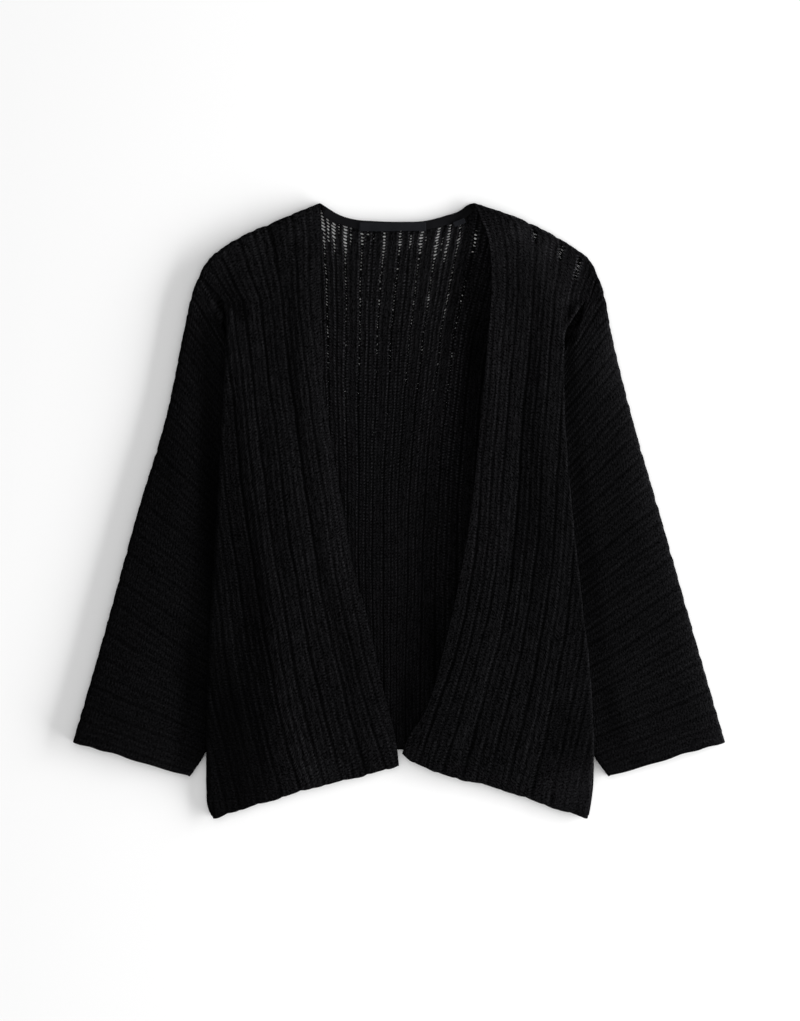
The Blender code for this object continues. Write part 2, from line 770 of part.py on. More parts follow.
back_knit = finish("black_rib_knit", KNIT_COLOUR, KNIT_ROUGHNESS)
right_knit = finish("black_rib_knit_right", KNIT_COLOUR, KNIT_ROUGHNESS)
left_knit = finish("black_rib_knit_left", KNIT_COLOUR, KNIT_ROUGHNESS)
tape = finish("black_neck_tape", TAPE_COLOUR, TAPE_ROUGHNESS)
label = finish("dark_woven_label", LABEL_COLOUR, LABEL_ROUGHNESS)
tab = finish("dark_woven_tab", TAB_COLOUR, LABEL_ROUGHNESS)

made = [
    back_panel(back_knit),
    front_panel("right", right_knit),
    front_panel("left", left_knit),
    neck_tape(tape),
    sewn_patch("neck_label", LABEL_CENTRE, LABEL_SIZE, 0.0, LABEL_THICK, label),
    sewn_patch("side_tab", TAB_CENTRE, TAB_SIZE, TAB_TURN, LABEL_THICK, tab),
]
centre_on_origin(made)
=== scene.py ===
import math

import bpy
import numpy as np
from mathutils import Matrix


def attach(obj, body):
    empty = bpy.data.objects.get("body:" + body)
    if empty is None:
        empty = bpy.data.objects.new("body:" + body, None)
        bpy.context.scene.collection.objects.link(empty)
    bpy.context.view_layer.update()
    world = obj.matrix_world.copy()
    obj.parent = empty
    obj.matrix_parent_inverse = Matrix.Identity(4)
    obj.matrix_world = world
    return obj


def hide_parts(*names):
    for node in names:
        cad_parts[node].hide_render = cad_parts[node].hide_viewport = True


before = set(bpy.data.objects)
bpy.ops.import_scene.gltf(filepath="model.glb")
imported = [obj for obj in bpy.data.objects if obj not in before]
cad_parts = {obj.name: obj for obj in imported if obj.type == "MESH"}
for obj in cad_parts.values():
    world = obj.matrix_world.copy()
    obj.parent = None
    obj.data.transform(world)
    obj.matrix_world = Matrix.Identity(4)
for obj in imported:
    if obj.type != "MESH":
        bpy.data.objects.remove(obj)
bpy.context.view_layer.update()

# Open-front ribbed knit cardigan with dolman sleeves, laid flat on its back.
#
# Tables and sizes are in millimetres, as a pattern cutter writes them. X runs across, Y from
# the hem to the neck, Z up. "right" and "left" are the wearer's sides: the right side lies
# towards -X. A table's "out" is the distance from the centre line towards that side.
# Every panel is a thin knitted shell on the form of its solid. Its lines of points follow
# the ribs, "rib" counts them, and "way" is the length along a rib in millimetres.

MM = 0.001
MIDDLE_Y = 0.1  # y of the middle of the whole cardigan, which stands over the origin

WALL = 2.6  # room that the knit takes up, ridges and furrows together
SEAM_LIFT = 0.18  # from a seam's height to the edge of the cloth that ends at it
NECK_SEAM_HEIGHT = 2.9
ARM_SEAM_HEIGHT = 4.4
UNDERARM_SEAM_HEIGHT = 3.4
SIDE_SEAM_HEIGHT = 3.2
SLEEVE_CROWN = 2 * ARM_SEAM_HEIGHT - WALL / 2
SEAM_RISE_LENGTH = 45.0  # from the neck to where the shoulder seam is as high as the arm's
BODY_RISE_LENGTH = 75.0  # from the shoulder seam to the full height
SIDE_FOLD_RADIUS = 2.5
SIDE_FOLD_START = 30.0
YOKE_FLANK = 0.72  # share of a front's width where it starts to rise to the sleeve
YOKE_EASE = 14.0  # the same beside the sleeve
SEAM_EASE = 24.0  # from the top of the fold, over which the underarm seam closes
NECK_FADE = 0.05  # share of the over-arm seam by the neck where it isn't drawn in
LEAST_HEIGHT = 2 * WALL - 0.9  # a front's, over the back
FOLD_SHARE = 0.94  # share of a front's width where its side starts to go over into the fold
FOLD_END = -75.0  # degrees that the fold at a front's side goes down to
DOWNWARD = (-0.1, -1.0)  # from a shoulder seam towards the hem
UPWARD = np.array([[0.0, 1.0]])
NECK_MIDDLE_X = 3.0  # x where the centre rib ends at the neck
SIDE_CURL = 2.2  # width of the curl at the back's side, in its radii
PASSES, BACK_PASSES = 5, 4  # to find where a line of the knit meets a row
FLANK_REACH = (4.0, 18.0)
FLANK_EASE = 26.0
CROWN_SPAN = (0.3, 0.7)
FOLD_FADE = 0.2
BACK_YOKE_Y = 190.0
BACK_LENGTH = BACK_YOKE_Y + 330.0  # from there to the hem
BACK_SLIT = 2.6  # room between the back and its sleeve
BACK_SLIT_START = 0.085  # share of the underarm seam above which the two are one
BACK_HEM_INSET = 3.0
BACK_CENTRE_HEM = -263.0
CENTRE_HEM_REACH = 40.0
CUFF_LEVEL = -266.0
SIDE_DROP = 34.0
SHOULDER_SHARE = 0.232
SLEEVE_FULL_SPAN = 104.0
SLEEVE_SINK = (46.0, 20.0)  # ways out from the underarm edge between which a sleeve sinks

OVERARM = (
    # From the neck point over the shoulder and down the outside of the arm to the cuff: out
    # and y on the right, out and y on the left
    (87.5, 338.5, 83.6, 338.5), (133.1, 319.6, 137.5, 319.6), (181.5, 297.2, 179.3, 297.6),
    (210, 275.6, 209.5, 275.6), (226.5, 242.6, 223.9, 245), (236.5, 198.6, 233.2, 198.6),
    (257.4, 99.6, 257.4, 99.6), (287.1, 0.6, 286, 0.6), (323.4, -131.5, 323.4, -131.5),
    (358.6, -253.6, 358.6, -253.6),
)

UNDERARM = (
    # The same, from the top of the side's fold down the inside of the arm to the cuff
    (192.5, 225, 205.7, 232), (192.2, 203, 198.5, 212.5), (182.5, 172, 177.5, 172),
    (179.5, 100, 167.5, 100), (184, 0, 174, 0), (190.5, -110, 184.5, -110),
    (198.5, -225, 198, -225), (212.8, -268, 212.8, -268), (229.9, -293.2, 229.9, -293.2),
)

FRONT_EDGE = {
    # y, out
    "right": (
        (338.5, 87.5), (322, 85.8), (231, 85.8), (169, 83), (112, 79.6), (66, 72.6), (3, 61.6),
        (-62, 50), (-117, 34.6), (-186, 19.8), (-260, 2.2), (-281, 0),
    ),
    "left": (
        (338.5, 83.6), (324, 88.8), (298, 98), (262, 101.4), (169, 95.7), (75, 86.9), (-7, 78.1),
        (-98, 61.6), (-168, 45.1), (-200, 36.3), (-225, 26.4), (-245, 12.6), (-266.8, 3.3),
    ),
}

BODY_SIDE = {
    # y, out
    "right": (
        (225, 192.5), (212, 190), (196, 190.4), (105, 194.7), (3, 200.2), (-98, 206.8),
        (-208, 211.2), (-304, 211.2), (-326, 209.6), (-338.3, 204.5),
    ),
    "left": (
        (232, 205.7), (215, 194.4), (196, 183.6), (172, 182.2), (105, 182.6), (3, 190.3),
        (-98, 201.3), (-190, 211.2), (-318, 211.2), (-338, 208),
    ),
}

HEM = {
    # out, y
    "right": (
        (0, -281), (50, -293.6), (100, -306.2), (150, -320.6), (204.5, -338.3),
    ),
    "left": (
        (3.3, -266.8), (11, -273.4), (39.6, -286.6), (100, -302.5), (150, -318.9), (208, -338),
    ),
}

NECKLINE = (
    # x, y
    (-87.5, 338.5), (-64, 324.4), (-47.3, 319.8), (-29.7, 318.4), (1.1, 317.4), (28.6, 318.5),
    (50.6, 324), (67.1, 329.8), (75.9, 336.2), (83.6, 338.5),
)

HEIGHTS = {
    # Height of the middle of the wall. y, at the front edge, on the crown, at the side
    "right": (
        (330, 4.9, 5.6, 6.5), (290, 6.6, 9, 9), (225, 8.8, 12.4, 13.2), (120, 10.8, 15.3, 13.4),
        (0, 11.4, 16, 13.4), (-120, 10, 15.4, 13.4), (-215, 6.8, 12.4, 13.4),
        (-268, 4.8, 8.2, 13.2), (-306, 4.6, 5.2, 6), (-340, 4.6, 4.7, 5.3),
    ),
    "left": (
        (330, 4.9, 5.6, 6.5), (290, 8, 9.2, 9), (225, 12.4, 13.4, 13.2), (120, 15.4, 16.6, 13.4),
        (0, 16.2, 17, 13.4), (-120, 15.2, 16.2, 13.4), (-200, 10.6, 13, 13.4),
        (-268, 4.8, 8.2, 13.2), (-306, 4.6, 5.2, 6), (-340, 4.6, 4.7, 5.3),
    ),
}

FOLDS = {
    # Valleys along the ribs: from the front edge at the top and bottom, y at the top and
    # bottom, half the width, depth
    "right": (
        (36, 40, 312, -285, 9, 1.3), (74, 84, 130, -110, 8, 1), (104, 114, 30, -135, 8, 0.9),
        (127, 135, -80, -245, 9, 0.8), (146, 158, -100, -310, 9, 1.1),
    ),
    "left": (
        (46, 50, 285, -105, 10, 1.1), (85, 86, 75, -75, 9, 0.8), (60, 66, -90, -290, 10, 0.8),
    ),
}

# The knit
YARN_WALL = 1.25  # thickness of the cloth itself
RESTING = 0.05  # the cloth's lowest height over the table
CLOSE_HEIGHT = 3.3  # height of the middle of a front's wall where it touches the back
# Where a front lies down on the back: how far out, y, half the size, and how nearly it touches.
LYING_CLOSE = {
    "right": (),
    "left": ((204, 264, 28, 0.94), (172, 287, 18, 0.8), (146, 306, 14, 0.8)),
}
RIB_RELIEF = 0.4  # how far a ridge stands out, and a furrow in
SWELL = 0.2  # how far the cloth rises and falls beside that
REPEAT = 7.0  # ribs in the pattern: two, two and three, with an open ladder after each
LADDERS = ((0, 1), (2, 0.55), (4, 0.9), (7, 1))  # place in the repeat, strength
FIRST_RIB = {"right": 0.0, "left": -0.75}  # where the pattern starts at the front edge
YOKE_RIBS = 18  # ribs across a front where the side fold begins
SLEEVE_RIBS = 64  # ribs along the over-arm seam beyond the shoulder
HALF_BACK_RIBS = 35
RIB_STEPS = 6  # lines of points to a rib on the fronts
BACK_RIB_STEPS = 5
BACK_SLEEVE_STEPS = 3
BODY_ROWS = 104
ACROSS_ROWS = 24
BACK_ROWS = 78
BACK_ACROSS_ROWS = 18
ROLL_STEPS = 4
SIDE_FOLD_STEPS = 6
RIB_ROOM = 6.0  # width of a rib, near enough
SHARP_ANGLE = 80.0  # degrees between faces that are shaded apart
YARN_MARKS = ("rib", "way", "painted_light", "opened", "crisp")  # told to the yarn at every point, painted light and shade among them
CAST_OFF = 3.5  # depth of the plain edge at the hem and cuffs
CAST_OFF_EASE = 2.5
SELVEDGE = (0.3, 1.3)  # width of the plain front edge, and how far it goes over, in ribs
SCALLOP = 0.9  # how far the hem is drawn up at the ladders
EDGE_EASE = 12.0  # from a hem or cuff, within which its waves die out
SLEEVE_LEAN = (
    # how far down the over-arm seam the rib has come, and down the underarm seam, right and left
    (0, 0, 0), (0.05, 0.13, 0.158), (0.1, 0.173, 0.202), (0.2, 0.267, 0.299), (0.3, 0.37, 0.398),
    (0.45, 0.518, 0.536), (0.6, 0.661, 0.672), (0.75, 0.804, 0.808), (0.9, 0.924, 0.925),
    (1, 1, 1),
)
RIB_RUN = {
    # y, out of the rib that starts at the front edge, and the pitch of the ribs
    "right": (
        (225, 85.8, 5.93), (82, 67.9, 6.1), (-41, 48.2, 6.3), (-226, 5.7, 6.9), (-281, -12.5, 7.1),
        (-340, -32, 7.3),
    ),
    "left": (
        (232, 101, 5.82), (82, 89, 5.9), (-43, 79, 6), (-120, 65.9, 6.3), (-230, 32.9, 7),
        (-271, 19.4, 7.2), (-340, -3, 7.6),
    ),
}
BACK_RIB_LINES = (
    # y, x of the rib 14 to the right of the centre, the centre rib, the rib 14 to the left
    (325, -77.7, 8.9, 95), (280, -77.2, 3, 84), (231, -77.8, -4.2, 68.9), (132, -77, -12.1, 53.9),
    (22, -74.8, -16.5, 43.2), (-100, -73, -17.5, 40), (-263, -72, -17, 39),
)
BACK_LINE_RIBS = 14.0
BACK_NECK_RIBS = {"right": -14.4, "left": 13.0}  # ribs that end at the two neck points

SIGN = {"right": -1.0, "left": 1.0}
LINE_POINTS, LINE_STEP = 600, 0.002  # on a seam line, and the share of it that gives its way


def smooth(value):
    """Eased step from 0 to 1."""
    value = np.clip(value, 0.0, 1.0)
    return value * value * (3.0 - 2.0 * value)


def eased(f, step, low, high, low_slope, high_slope):
    """A smooth curve's value, a share `f` of `step` on from `low` to `high`."""
    start = (1 + 2 * f) * (1 - f) ** 2 * low + f * (1 - f) ** 2 * step * low_slope
    end = f**2 * (3 - 2 * f) * high - f**2 * (1 - f) * step * high_slope
    return start + end


def through(places, values, at):
    """Smooth curve through `values`, which stand at `places`, read at `at`."""
    places = np.asarray(places, float)
    values = np.asarray(values, float)
    if places[0] > places[-1]:
        places, values = places[::-1], values[::-1]
    steps = np.diff(places)
    slopes = np.diff(values) / steps
    inner = (slopes[:-1] * steps[1:] + slopes[1:] * steps[:-1]) / (steps[:-1] + steps[1:])
    turns = np.concatenate(([slopes[0]], inner, [slopes[-1]]))
    at = np.clip(at, places[0], places[-1])
    cell = np.clip(np.searchsorted(places, at, side="right") - 1, 0, len(steps) - 1)
    step = steps[cell]
    f = (at - places[cell]) / step
    return eased(f, step, values[cell], values[cell + 1], turns[cell], turns[cell + 1])


def read(rows, at, number=1):
    """Smooth curve through a table's column `number`, read where its first column is `at`."""
    return through([row[0] for row in rows], [row[number] for row in rows], at)


def plan(x, y):
    return np.stack(np.broadcast_arrays(x, y), axis=-1).astype(float)


def ways_down(places):
    """The way from the first of `places` to each of them, through those between."""
    steps = np.linalg.norm(np.diff(places, axis=0), axis=-1)
    return np.concatenate([np.zeros_like(steps[:1]), np.cumsum(steps, axis=0)])


def unit(vectors):
    return vectors / np.linalg.norm(vectors, axis=-1, keepdims=True)


def beyond(share, start):
    """0 up to `start`, eased to 1 where `share` is 1."""
    return smooth((share - start) / (1.0 - start))


class Line:
    """A smooth line in plan through points, read by its share of length."""

    def __init__(self, rows):
        points = np.array(rows, float)
        places = ways_down(points)
        fine = np.linspace(0.0, places[-1], LINE_POINTS)
        self.points = plan(*(through(places, points[:, n], fine) for n in (0, 1)))
        self.places = ways_down(self.points)
        self.length = self.places[-1]

    def at(self, share):
        way = np.asarray(share) * self.length
        return plan(*(np.interp(way, self.places, self.points[:, n]) for n in (0, 1)))

    def direction(self, share):
        ends = np.minimum(share + LINE_STEP, 1.0), np.maximum(share - LINE_STEP, 0.0)
        return unit(self.at(ends[0]) - self.at(ends[1]))


OVER_LINE, UNDER_LINE = (
    {side: Line([row[n : n + 2] for row in rows]) for side, n in (("right", 0), ("left", 2))}
    for rows in (OVERARM, UNDERARM)
)


def across_from(direction, towards):
    """Unit vectors across `direction`, on the side where `towards` points."""
    across = plan(-direction[..., 1], direction[..., 0])
    return across * np.sign((across * towards).sum(axis=-1, keepdims=True))


def body_height(side, out, y, share):
    """Height of the middle of the wall on a front, folds included."""
    edge, crown, flank = (read(HEIGHTS[side], y, n) for n in (1, 2, 3))
    risen = np.sin(np.clip(share / CROWN_SPAN[0], 0.0, 1.0) * math.pi / 2)
    height = edge + (crown - edge) * risen + (flank - crown) * beyond(share, CROWN_SPAN[1])
    for top_way, low_way, top, low, half, depth in FOLDS[side]:
        down = (top - y) / (top - low)
        centre = top_way + (low_way - top_way) * np.clip(down, 0.0, 1.0)
        ends = smooth(down / FOLD_FADE) * smooth((1.0 - down) / FOLD_FADE)
        across = (out - read(FRONT_EDGE[side], y) - centre) / half
        height = height - depth * ends * np.exp(-across * across)
    return np.maximum(height, LEAST_HEIGHT)


def settled(side, places, levels):
    """A front's heights, lower where it lies down on the back."""
    for out, y, half, share in LYING_CLOSE[side]:
        away = ((places[..., 0] - out) ** 2 + (places[..., 1] - y) ** 2) / half**2
        levels = levels - share * np.exp(-away) * np.maximum(levels - CLOSE_HEIGHT, 0.0)
    return levels


def rolled(start, inward, angle, seam, rise, share):
    """Where the cloth has got to, curling round by `angle` from the seam at its edge: upwards
    on a front (rise 1), downwards on the back (rise -1)."""
    radius = seam - WALL / 2
    turn = np.maximum(math.radians(angle), np.arcsin(SEAM_LIFT / radius))
    curl_way = WALL / 2 + radius * (1.0 - np.cos(turn))
    flat_way = (WALL / 2 + radius) * angle / 90.0
    way = flat_way + (curl_way - flat_way) * share
    level = seam + rise * radius * (1.0 - share + share * np.sin(turn))
    return start + inward * np.asarray(way)[..., None], level


class Cloth:
    """A knitted panel: points on its middle, with the rib and the way along it of each."""

    def __init__(self, first_rib=0.0):
        self.points, self.marks, self.quads, self.corners = [], [], [], []
        self.count = 0
        self.first_rib = first_rib

    def add(self, side, places, level, rib, way, edge):
        """Points in plan with their heights. Gives back their numbers, in the same layout."""
        point = (SIGN[side] * places[..., 0], places[..., 1] - MIDDLE_Y, level)
        self.points.append(np.stack(point, axis=-1).reshape(-1, 3))
        mark = np.broadcast_arrays(rib + drift(rib, way) + self.first_rib, way, edge, level)[:3]
        self.marks.append(np.stack(mark, axis=-1).reshape(-1, 3))
        numbers = self.count + np.arange(level.size).reshape(level.shape)
        self.count += numbers.size
        return numbers

    def grid(self, numbers, side):
        upper, lower = numbers[:-1], numbers[1:]
        faces = [upper[:, :-1], lower[:, :-1], lower[:, 1:], upper[:, 1:]]
        faces = np.stack(faces if side == "left" else faces[::-1], axis=-1)
        self.quads.append(faces.reshape(-1, 4))

    def between(self, upper, lower, side):
        """Join two rows of different lengths, as where a rib comes out of a fold."""
        shared = min(len(upper), len(lower)) - 1
        self.grid(np.array([upper[:shared], lower[:shared]]), side)
        ring = list(lower[shared - 1 :]) + list(upper[: shared - 2 : -1])
        hub, rest = (ring[-1], ring[:-1]) if len(lower) >= len(upper) else (ring[0], ring[1:])
        for pair in zip(rest, rest[1:]):
            if hub not in pair:
                self.corners.append((hub, *(pair if side == "left" else pair[::-1])))


def soft_normals(points, *rings):
    """The way out of the cloth at every point, from the faces in `rings` around it."""
    normals = np.zeros_like(points)
    for faces in rings:
        corners = points[faces]
        across = np.cross(corners[:, 2] - corners[:, 0], corners[:, -1] - corners[:, 1])
        for column in faces.T:
            np.add.at(normals, column, across)
    return normals / np.maximum(np.linalg.norm(normals, axis=1, keepdims=True), 1e-9)


def drift(rib, way):
    """How far, in ribs, the lines of the knit stray where it was handled."""
    broad = np.sin(way / 41.0 + rib * 0.23) + 0.7 * np.sin(way / 23.0 - rib * 0.41 + 2.0)
    return 0.11 * broad + 0.05 * np.sin(way / 9.5 + rib * 1.7)


def chance(number, way):
    """An uneven value from 0 to 1 for every rib, changing slowly along it."""
    first = np.sin(number * 2.399 + 1.0) + np.sin(number * 5.13 + way / 55.0)
    return 0.5 + 0.25 * (first * 0.6 + 0.8 * np.sin(number * 1.237 + way / 31.0 + 4.0))


def ladder(rib, way):
    """1 in the middle of the ladder columns, less where they are drawn together."""
    place = np.mod(rib, REPEAT)
    whole = np.floor(rib / REPEAT)
    depth = np.zeros_like(place)
    for number, (middle, strength) in enumerate(LADDERS):
        luck = chance(3.0 * whole + number, way)
        deep = strength * (0.3 + 1.1 * luck)
        depth = np.maximum(depth, deep * np.exp(-(((place - middle) / (0.3 + 0.2 * luck)) ** 2)))
    return depth


def swell(rib, way):
    """Soft rise and fall of the cloth between the places where it was smoothed down."""
    broad = np.sin(way / 9.5 + 1.9 * np.sin(rib * 0.29 + 1.0)) * np.sin(rib * 0.61 + way / 67.0)
    fine = np.sin(way / 4.1 + 2.6 * np.sin(rib * 0.83)) * np.sin(rib * 1.37 + way / 29.0 + 2.0)
    return SWELL * (0.7 * broad + 0.35 * fine)


def relief(rib, way, edge):
    """Height of the knit over its middle, from about -1 to 1."""
    away = np.abs(np.mod(rib, 1.0) - 0.5)
    ridge = (0.6 + 0.6 * chance(np.floor(rib) + 40.0, way)) * np.exp(-((away / 0.26) ** 2))
    return (ridge * 0.8 - 0.3 - 0.9 * ladder(rib, way)) * (1.0 - 0.8 * edge)


def knit_shell(name, cloth, panel):
    """The panel with its thickness, its ridges and furrows, and what its yarn needs to know."""
    points, marks = np.concatenate(cloth.points), np.concatenate(cloth.marks)
    rings = np.concatenate(cloth.quads), np.array(cloth.corners, int).reshape(-1, 3)
    rib, way, edge = marks.T
    raised = RIB_RELIEF * relief(rib, way, edge) + swell(rib, way)
    middle = points + soft_normals(points, *rings) * raised[:, None]
    half_wall = soft_normals(middle, *rings) * YARN_WALL / 2
    walls = np.concatenate([middle + half_wall, middle - half_wall])
    walls[:, 2] = np.maximum(walls[:, 2], RESTING)
    count = len(points)
    faces, edges = [], set()
    for ring in rings:
        faces += [*ring.tolist(), *(ring[:, ::-1] + count).tolist()]
        for first, second in zip(ring.T, np.roll(ring, -1, axis=1).T):
            edges.update(zip(first.tolist(), second.tolist()))
    for start, end in edges:
        if (end, start) not in edges:
            faces.append((end, start, start + count, end + count))
    data = bpy.data.meshes.new(name)
    data.from_pydata((walls * MM).tolist(), [], faces)
    data.update()
    for label, values in zip(YARN_MARKS, (rib, way, *tones(panel, points, marks))):
        mark = data.attributes.new(label, "FLOAT", "POINT")
        mark.data.foreach_set("value", np.tile(values, 2).astype(np.float32))
    data.materials.append(knit_finish("black_rib_knit_" + panel))
    data.shade_smooth()
    data.set_sharp_from_angle(angle=math.radians(SHARP_ANGLE))
    piece = bpy.data.objects.new(name, data)
    bpy.context.scene.collection.objects.link(piece)
    return piece


def lines_across(start, inward, end, outward, seam, rise, closed, rows, curl=None):
    """Lines of points from one seam to another: round the roll at the first, across, and round
    the roll at the other, as far as that one is `closed`. Gives their places and heights."""
    angles = np.linspace(0.0, 90.0, ROLL_STEPS + 1)
    curl = np.ones(len(start)) if curl is None else curl
    under = UNDERARM_SEAM_HEIGHT
    lines = [rolled(start, inward, angle, seam, rise, curl) for angle in angles]
    last = [rolled(end, outward, angle, under, rise, closed) for angle in angles[::-1]]
    (top, crown), (bottom, sunk) = lines[-1], last[0]
    span = np.linalg.norm(bottom - top, axis=-1)
    far, near = (reach * np.minimum(1.0, span / SLEEVE_FULL_SPAN) for reach in SLEEVE_SINK)
    for share in np.arange(1, rows) / rows:
        dip = smooth((far - span * (1.0 - share)) / (far - near)) if rise > 0 else share
        lines.append((top + (bottom - top) * share, crown + (sunk - crown) * dip * closed))
    lines += [(place, crown + (level - crown) * closed) for place, level in last]
    places, levels = zip(*lines)
    return np.stack(places), np.stack(levels)


def scallop(seam_share):
    """How far the over-arm seam draws in between one rib's end and the next."""
    past = (seam_share - SHOULDER_SHARE) / (1.0 - SHOULDER_SHARE)
    rib = YOKE_RIBS + SLEEVE_RIBS * past
    rib = np.where(past < 0.0, YOKE_RIBS * seam_share / SHOULDER_SHARE, rib)
    return SCALLOP * smooth(seam_share / NECK_FADE) * ladder(rib, 0.0)


def shoulder_seam(arm, share, towards):
    """Where the over-arm seam runs, with the way in from it and its height."""
    inward = across_from(arm.direction(share), towards)
    risen = smooth(share * arm.length / SEAM_RISE_LENGTH)
    seam = NECK_SEAM_HEIGHT + (ARM_SEAM_HEIGHT - NECK_SEAM_HEIGHT) * risen
    return arm.at(share) + inward * scallop(share)[:, None], inward, seam


def ragged(along):
    """The small waves of a knitted edge."""
    fine = 0.55 * np.sin(along / 5.3 + 2.0 * np.sin(along / 31.0))
    return fine + 0.45 * np.sin(along / 13.0 + 1.0)


def hem_waves(rib, way, to_hem):
    """How far the hem and the rows just above it are drawn up."""
    return (SCALLOP * ladder(rib, way) + ragged(rib * RIB_ROOM)) * waving(to_hem)


def waving(to_edge):
    """1 at a hem or cuff, 0 where its waves have died out."""
    return smooth((EDGE_EASE - to_edge) / EDGE_EASE)


def cast_off(to_edge):
    """1 on the plain edge at a hem or cuff, 0 in the knit above it."""
    return smooth((CAST_OFF - to_edge) / CAST_OFF_EASE + 0.5)


def selvedge(ribs):
    """1 along the plain edge of a front, 0 from the first whole ridge on."""
    return 1.0 - smooth((ribs - SELVEDGE[0]) / SELVEDGE[1])


def sleeve(cloth, side, rise, first_column, first_rib, steps, edge_start, rows):
    """Half of a sleeve, cut in one with its panel, from the body's last line to the cuff."""
    arm, under = OVER_LINE[side], UNDER_LINE[side]
    share = np.arange(1, SLEEVE_RIBS * steps + 1) / (SLEEVE_RIBS * steps)
    seam_share = SHOULDER_SHARE + (1.0 - SHOULDER_SHARE) * share
    lean = read(SLEEVE_LEAN, share, 1 if side == "right" else 2)
    under_share = edge_start + (1.0 - edge_start) * lean
    closed = smooth(lean * under.length / SEAM_EASE)
    end = under.at(under_share)
    start, inward, seam = shoulder_seam(arm, seam_share, end - arm.at(seam_share))
    outward = across_from(under.direction(under_share), start - end)
    places, levels = lines_across(start, inward, end, outward, seam, rise, closed, rows)
    if rise > 0:
        levels = settled(side, places, levels)
    way = ways_down(places)
    to_cuff = (1.0 - share) * (1.0 - SHOULDER_SHARE) * arm.length
    onward = unit(np.gradient(places, axis=1))
    places = places + onward * (ragged(way) * waving(to_cuff))[..., None]
    rib = first_rib + np.sign(first_rib) * share * SLEEVE_RIBS
    numbers = cloth.add(side, places, levels, rib, way, cast_off(to_cuff))
    cloth.grid(np.concatenate([first_column[:, None], numbers], axis=1), side)


def front_yoke(side):
    """From the shoulder seam down to the level where the side's fold begins."""
    arm, corner = OVER_LINE[side], UNDER_LINE[side].at(0.0)
    share = np.arange(YOKE_RIBS * RIB_STEPS + 1) / (YOKE_RIBS * RIB_STEPS)
    edge = read(FRONT_EDGE[side], corner[1])
    seam_share = SHOULDER_SHARE * share
    end = plan(edge + (corner[0] - edge) * share, corner[1])
    start, inward, seam = shoulder_seam(arm, seam_share, end - arm.at(seam_share))
    places, levels = lines_across(start, inward, end, UPWARD, seam, 1.0, 0.0, ACROSS_ROWS)
    crown, (top_out, top_y) = levels[ROLL_STEPS], places[ROLL_STEPS, 0]
    for i in range(ROLL_STEPS + 1, len(places)):
        here = places[i]
        straight = top_out + (edge - top_out) * (top_y - here[0, 1]) / (top_y - corner[1])
        here[:, 0] += (read(FRONT_EDGE[side], here[:, 1]) - straight) * (1.0 - share) ** 2
        here[0, 0] = read(FRONT_EDGE[side], here[0, 1])
        full = body_height(side, here[:, 0], here[:, 1], share)
        full += (SLEEVE_CROWN - full) * beyond(share, YOKE_FLANK)
        depth = np.linalg.norm(here - start, axis=-1)
        last = smooth((share - 1.0) * YOKE_RIBS + 1.0)
        reach = BODY_RISE_LENGTH + (YOKE_EASE - BODY_RISE_LENGTH) * last
        levels[i] = crown + (full - crown) * smooth(depth / reach)
    return places, settled(side, places, levels), share * YOKE_RIBS


def side_fold(side, y, below, pitch):
    """The body's side: lines round its fold, from the top of the wall outwards and under."""
    flank = read(HEIGHTS[side], y, 3)
    reached = smooth((below + FLANK_REACH[0]) / sum(FLANK_REACH))
    flank = SLEEVE_CROWN + (flank - SLEEVE_CROWN) * reached
    formed = smooth(below / SIDE_FOLD_START)
    free = smooth((CUFF_LEVEL - y) / SIDE_DROP)
    side_out = read(BODY_SIDE[side], y)
    seam_radius = np.maximum(flank - SIDE_SEAM_HEIGHT, WALL / 2)
    bends = (FOLD_END, SIDE_FOLD_RADIUS, 1.0 - free), (0.0, seam_radius, free)
    outs, levels = [], []
    for left_over in np.linspace(1.0, 0.0, SIDE_FOLD_STEPS + 1):
        out, rise = 0.0, 0.0
        for end, radius, share in bends:
            turn = math.radians(end + (90.0 - end) * left_over)
            up = SEAM_LIFT if turn == 0.0 else radius * math.sin(turn)
            out = out + share * (radius * (math.cos(turn) - 1.0) - WALL / 2)
            rise = rise + share * (up - radius)
        flat = side_out - left_over * SIDE_FOLD_STEPS / RIB_STEPS * pitch
        outs.append(flat + (side_out + out - flat) * formed)
        levels.append(flank + rise * formed)
    return np.stack(outs), np.stack(levels)


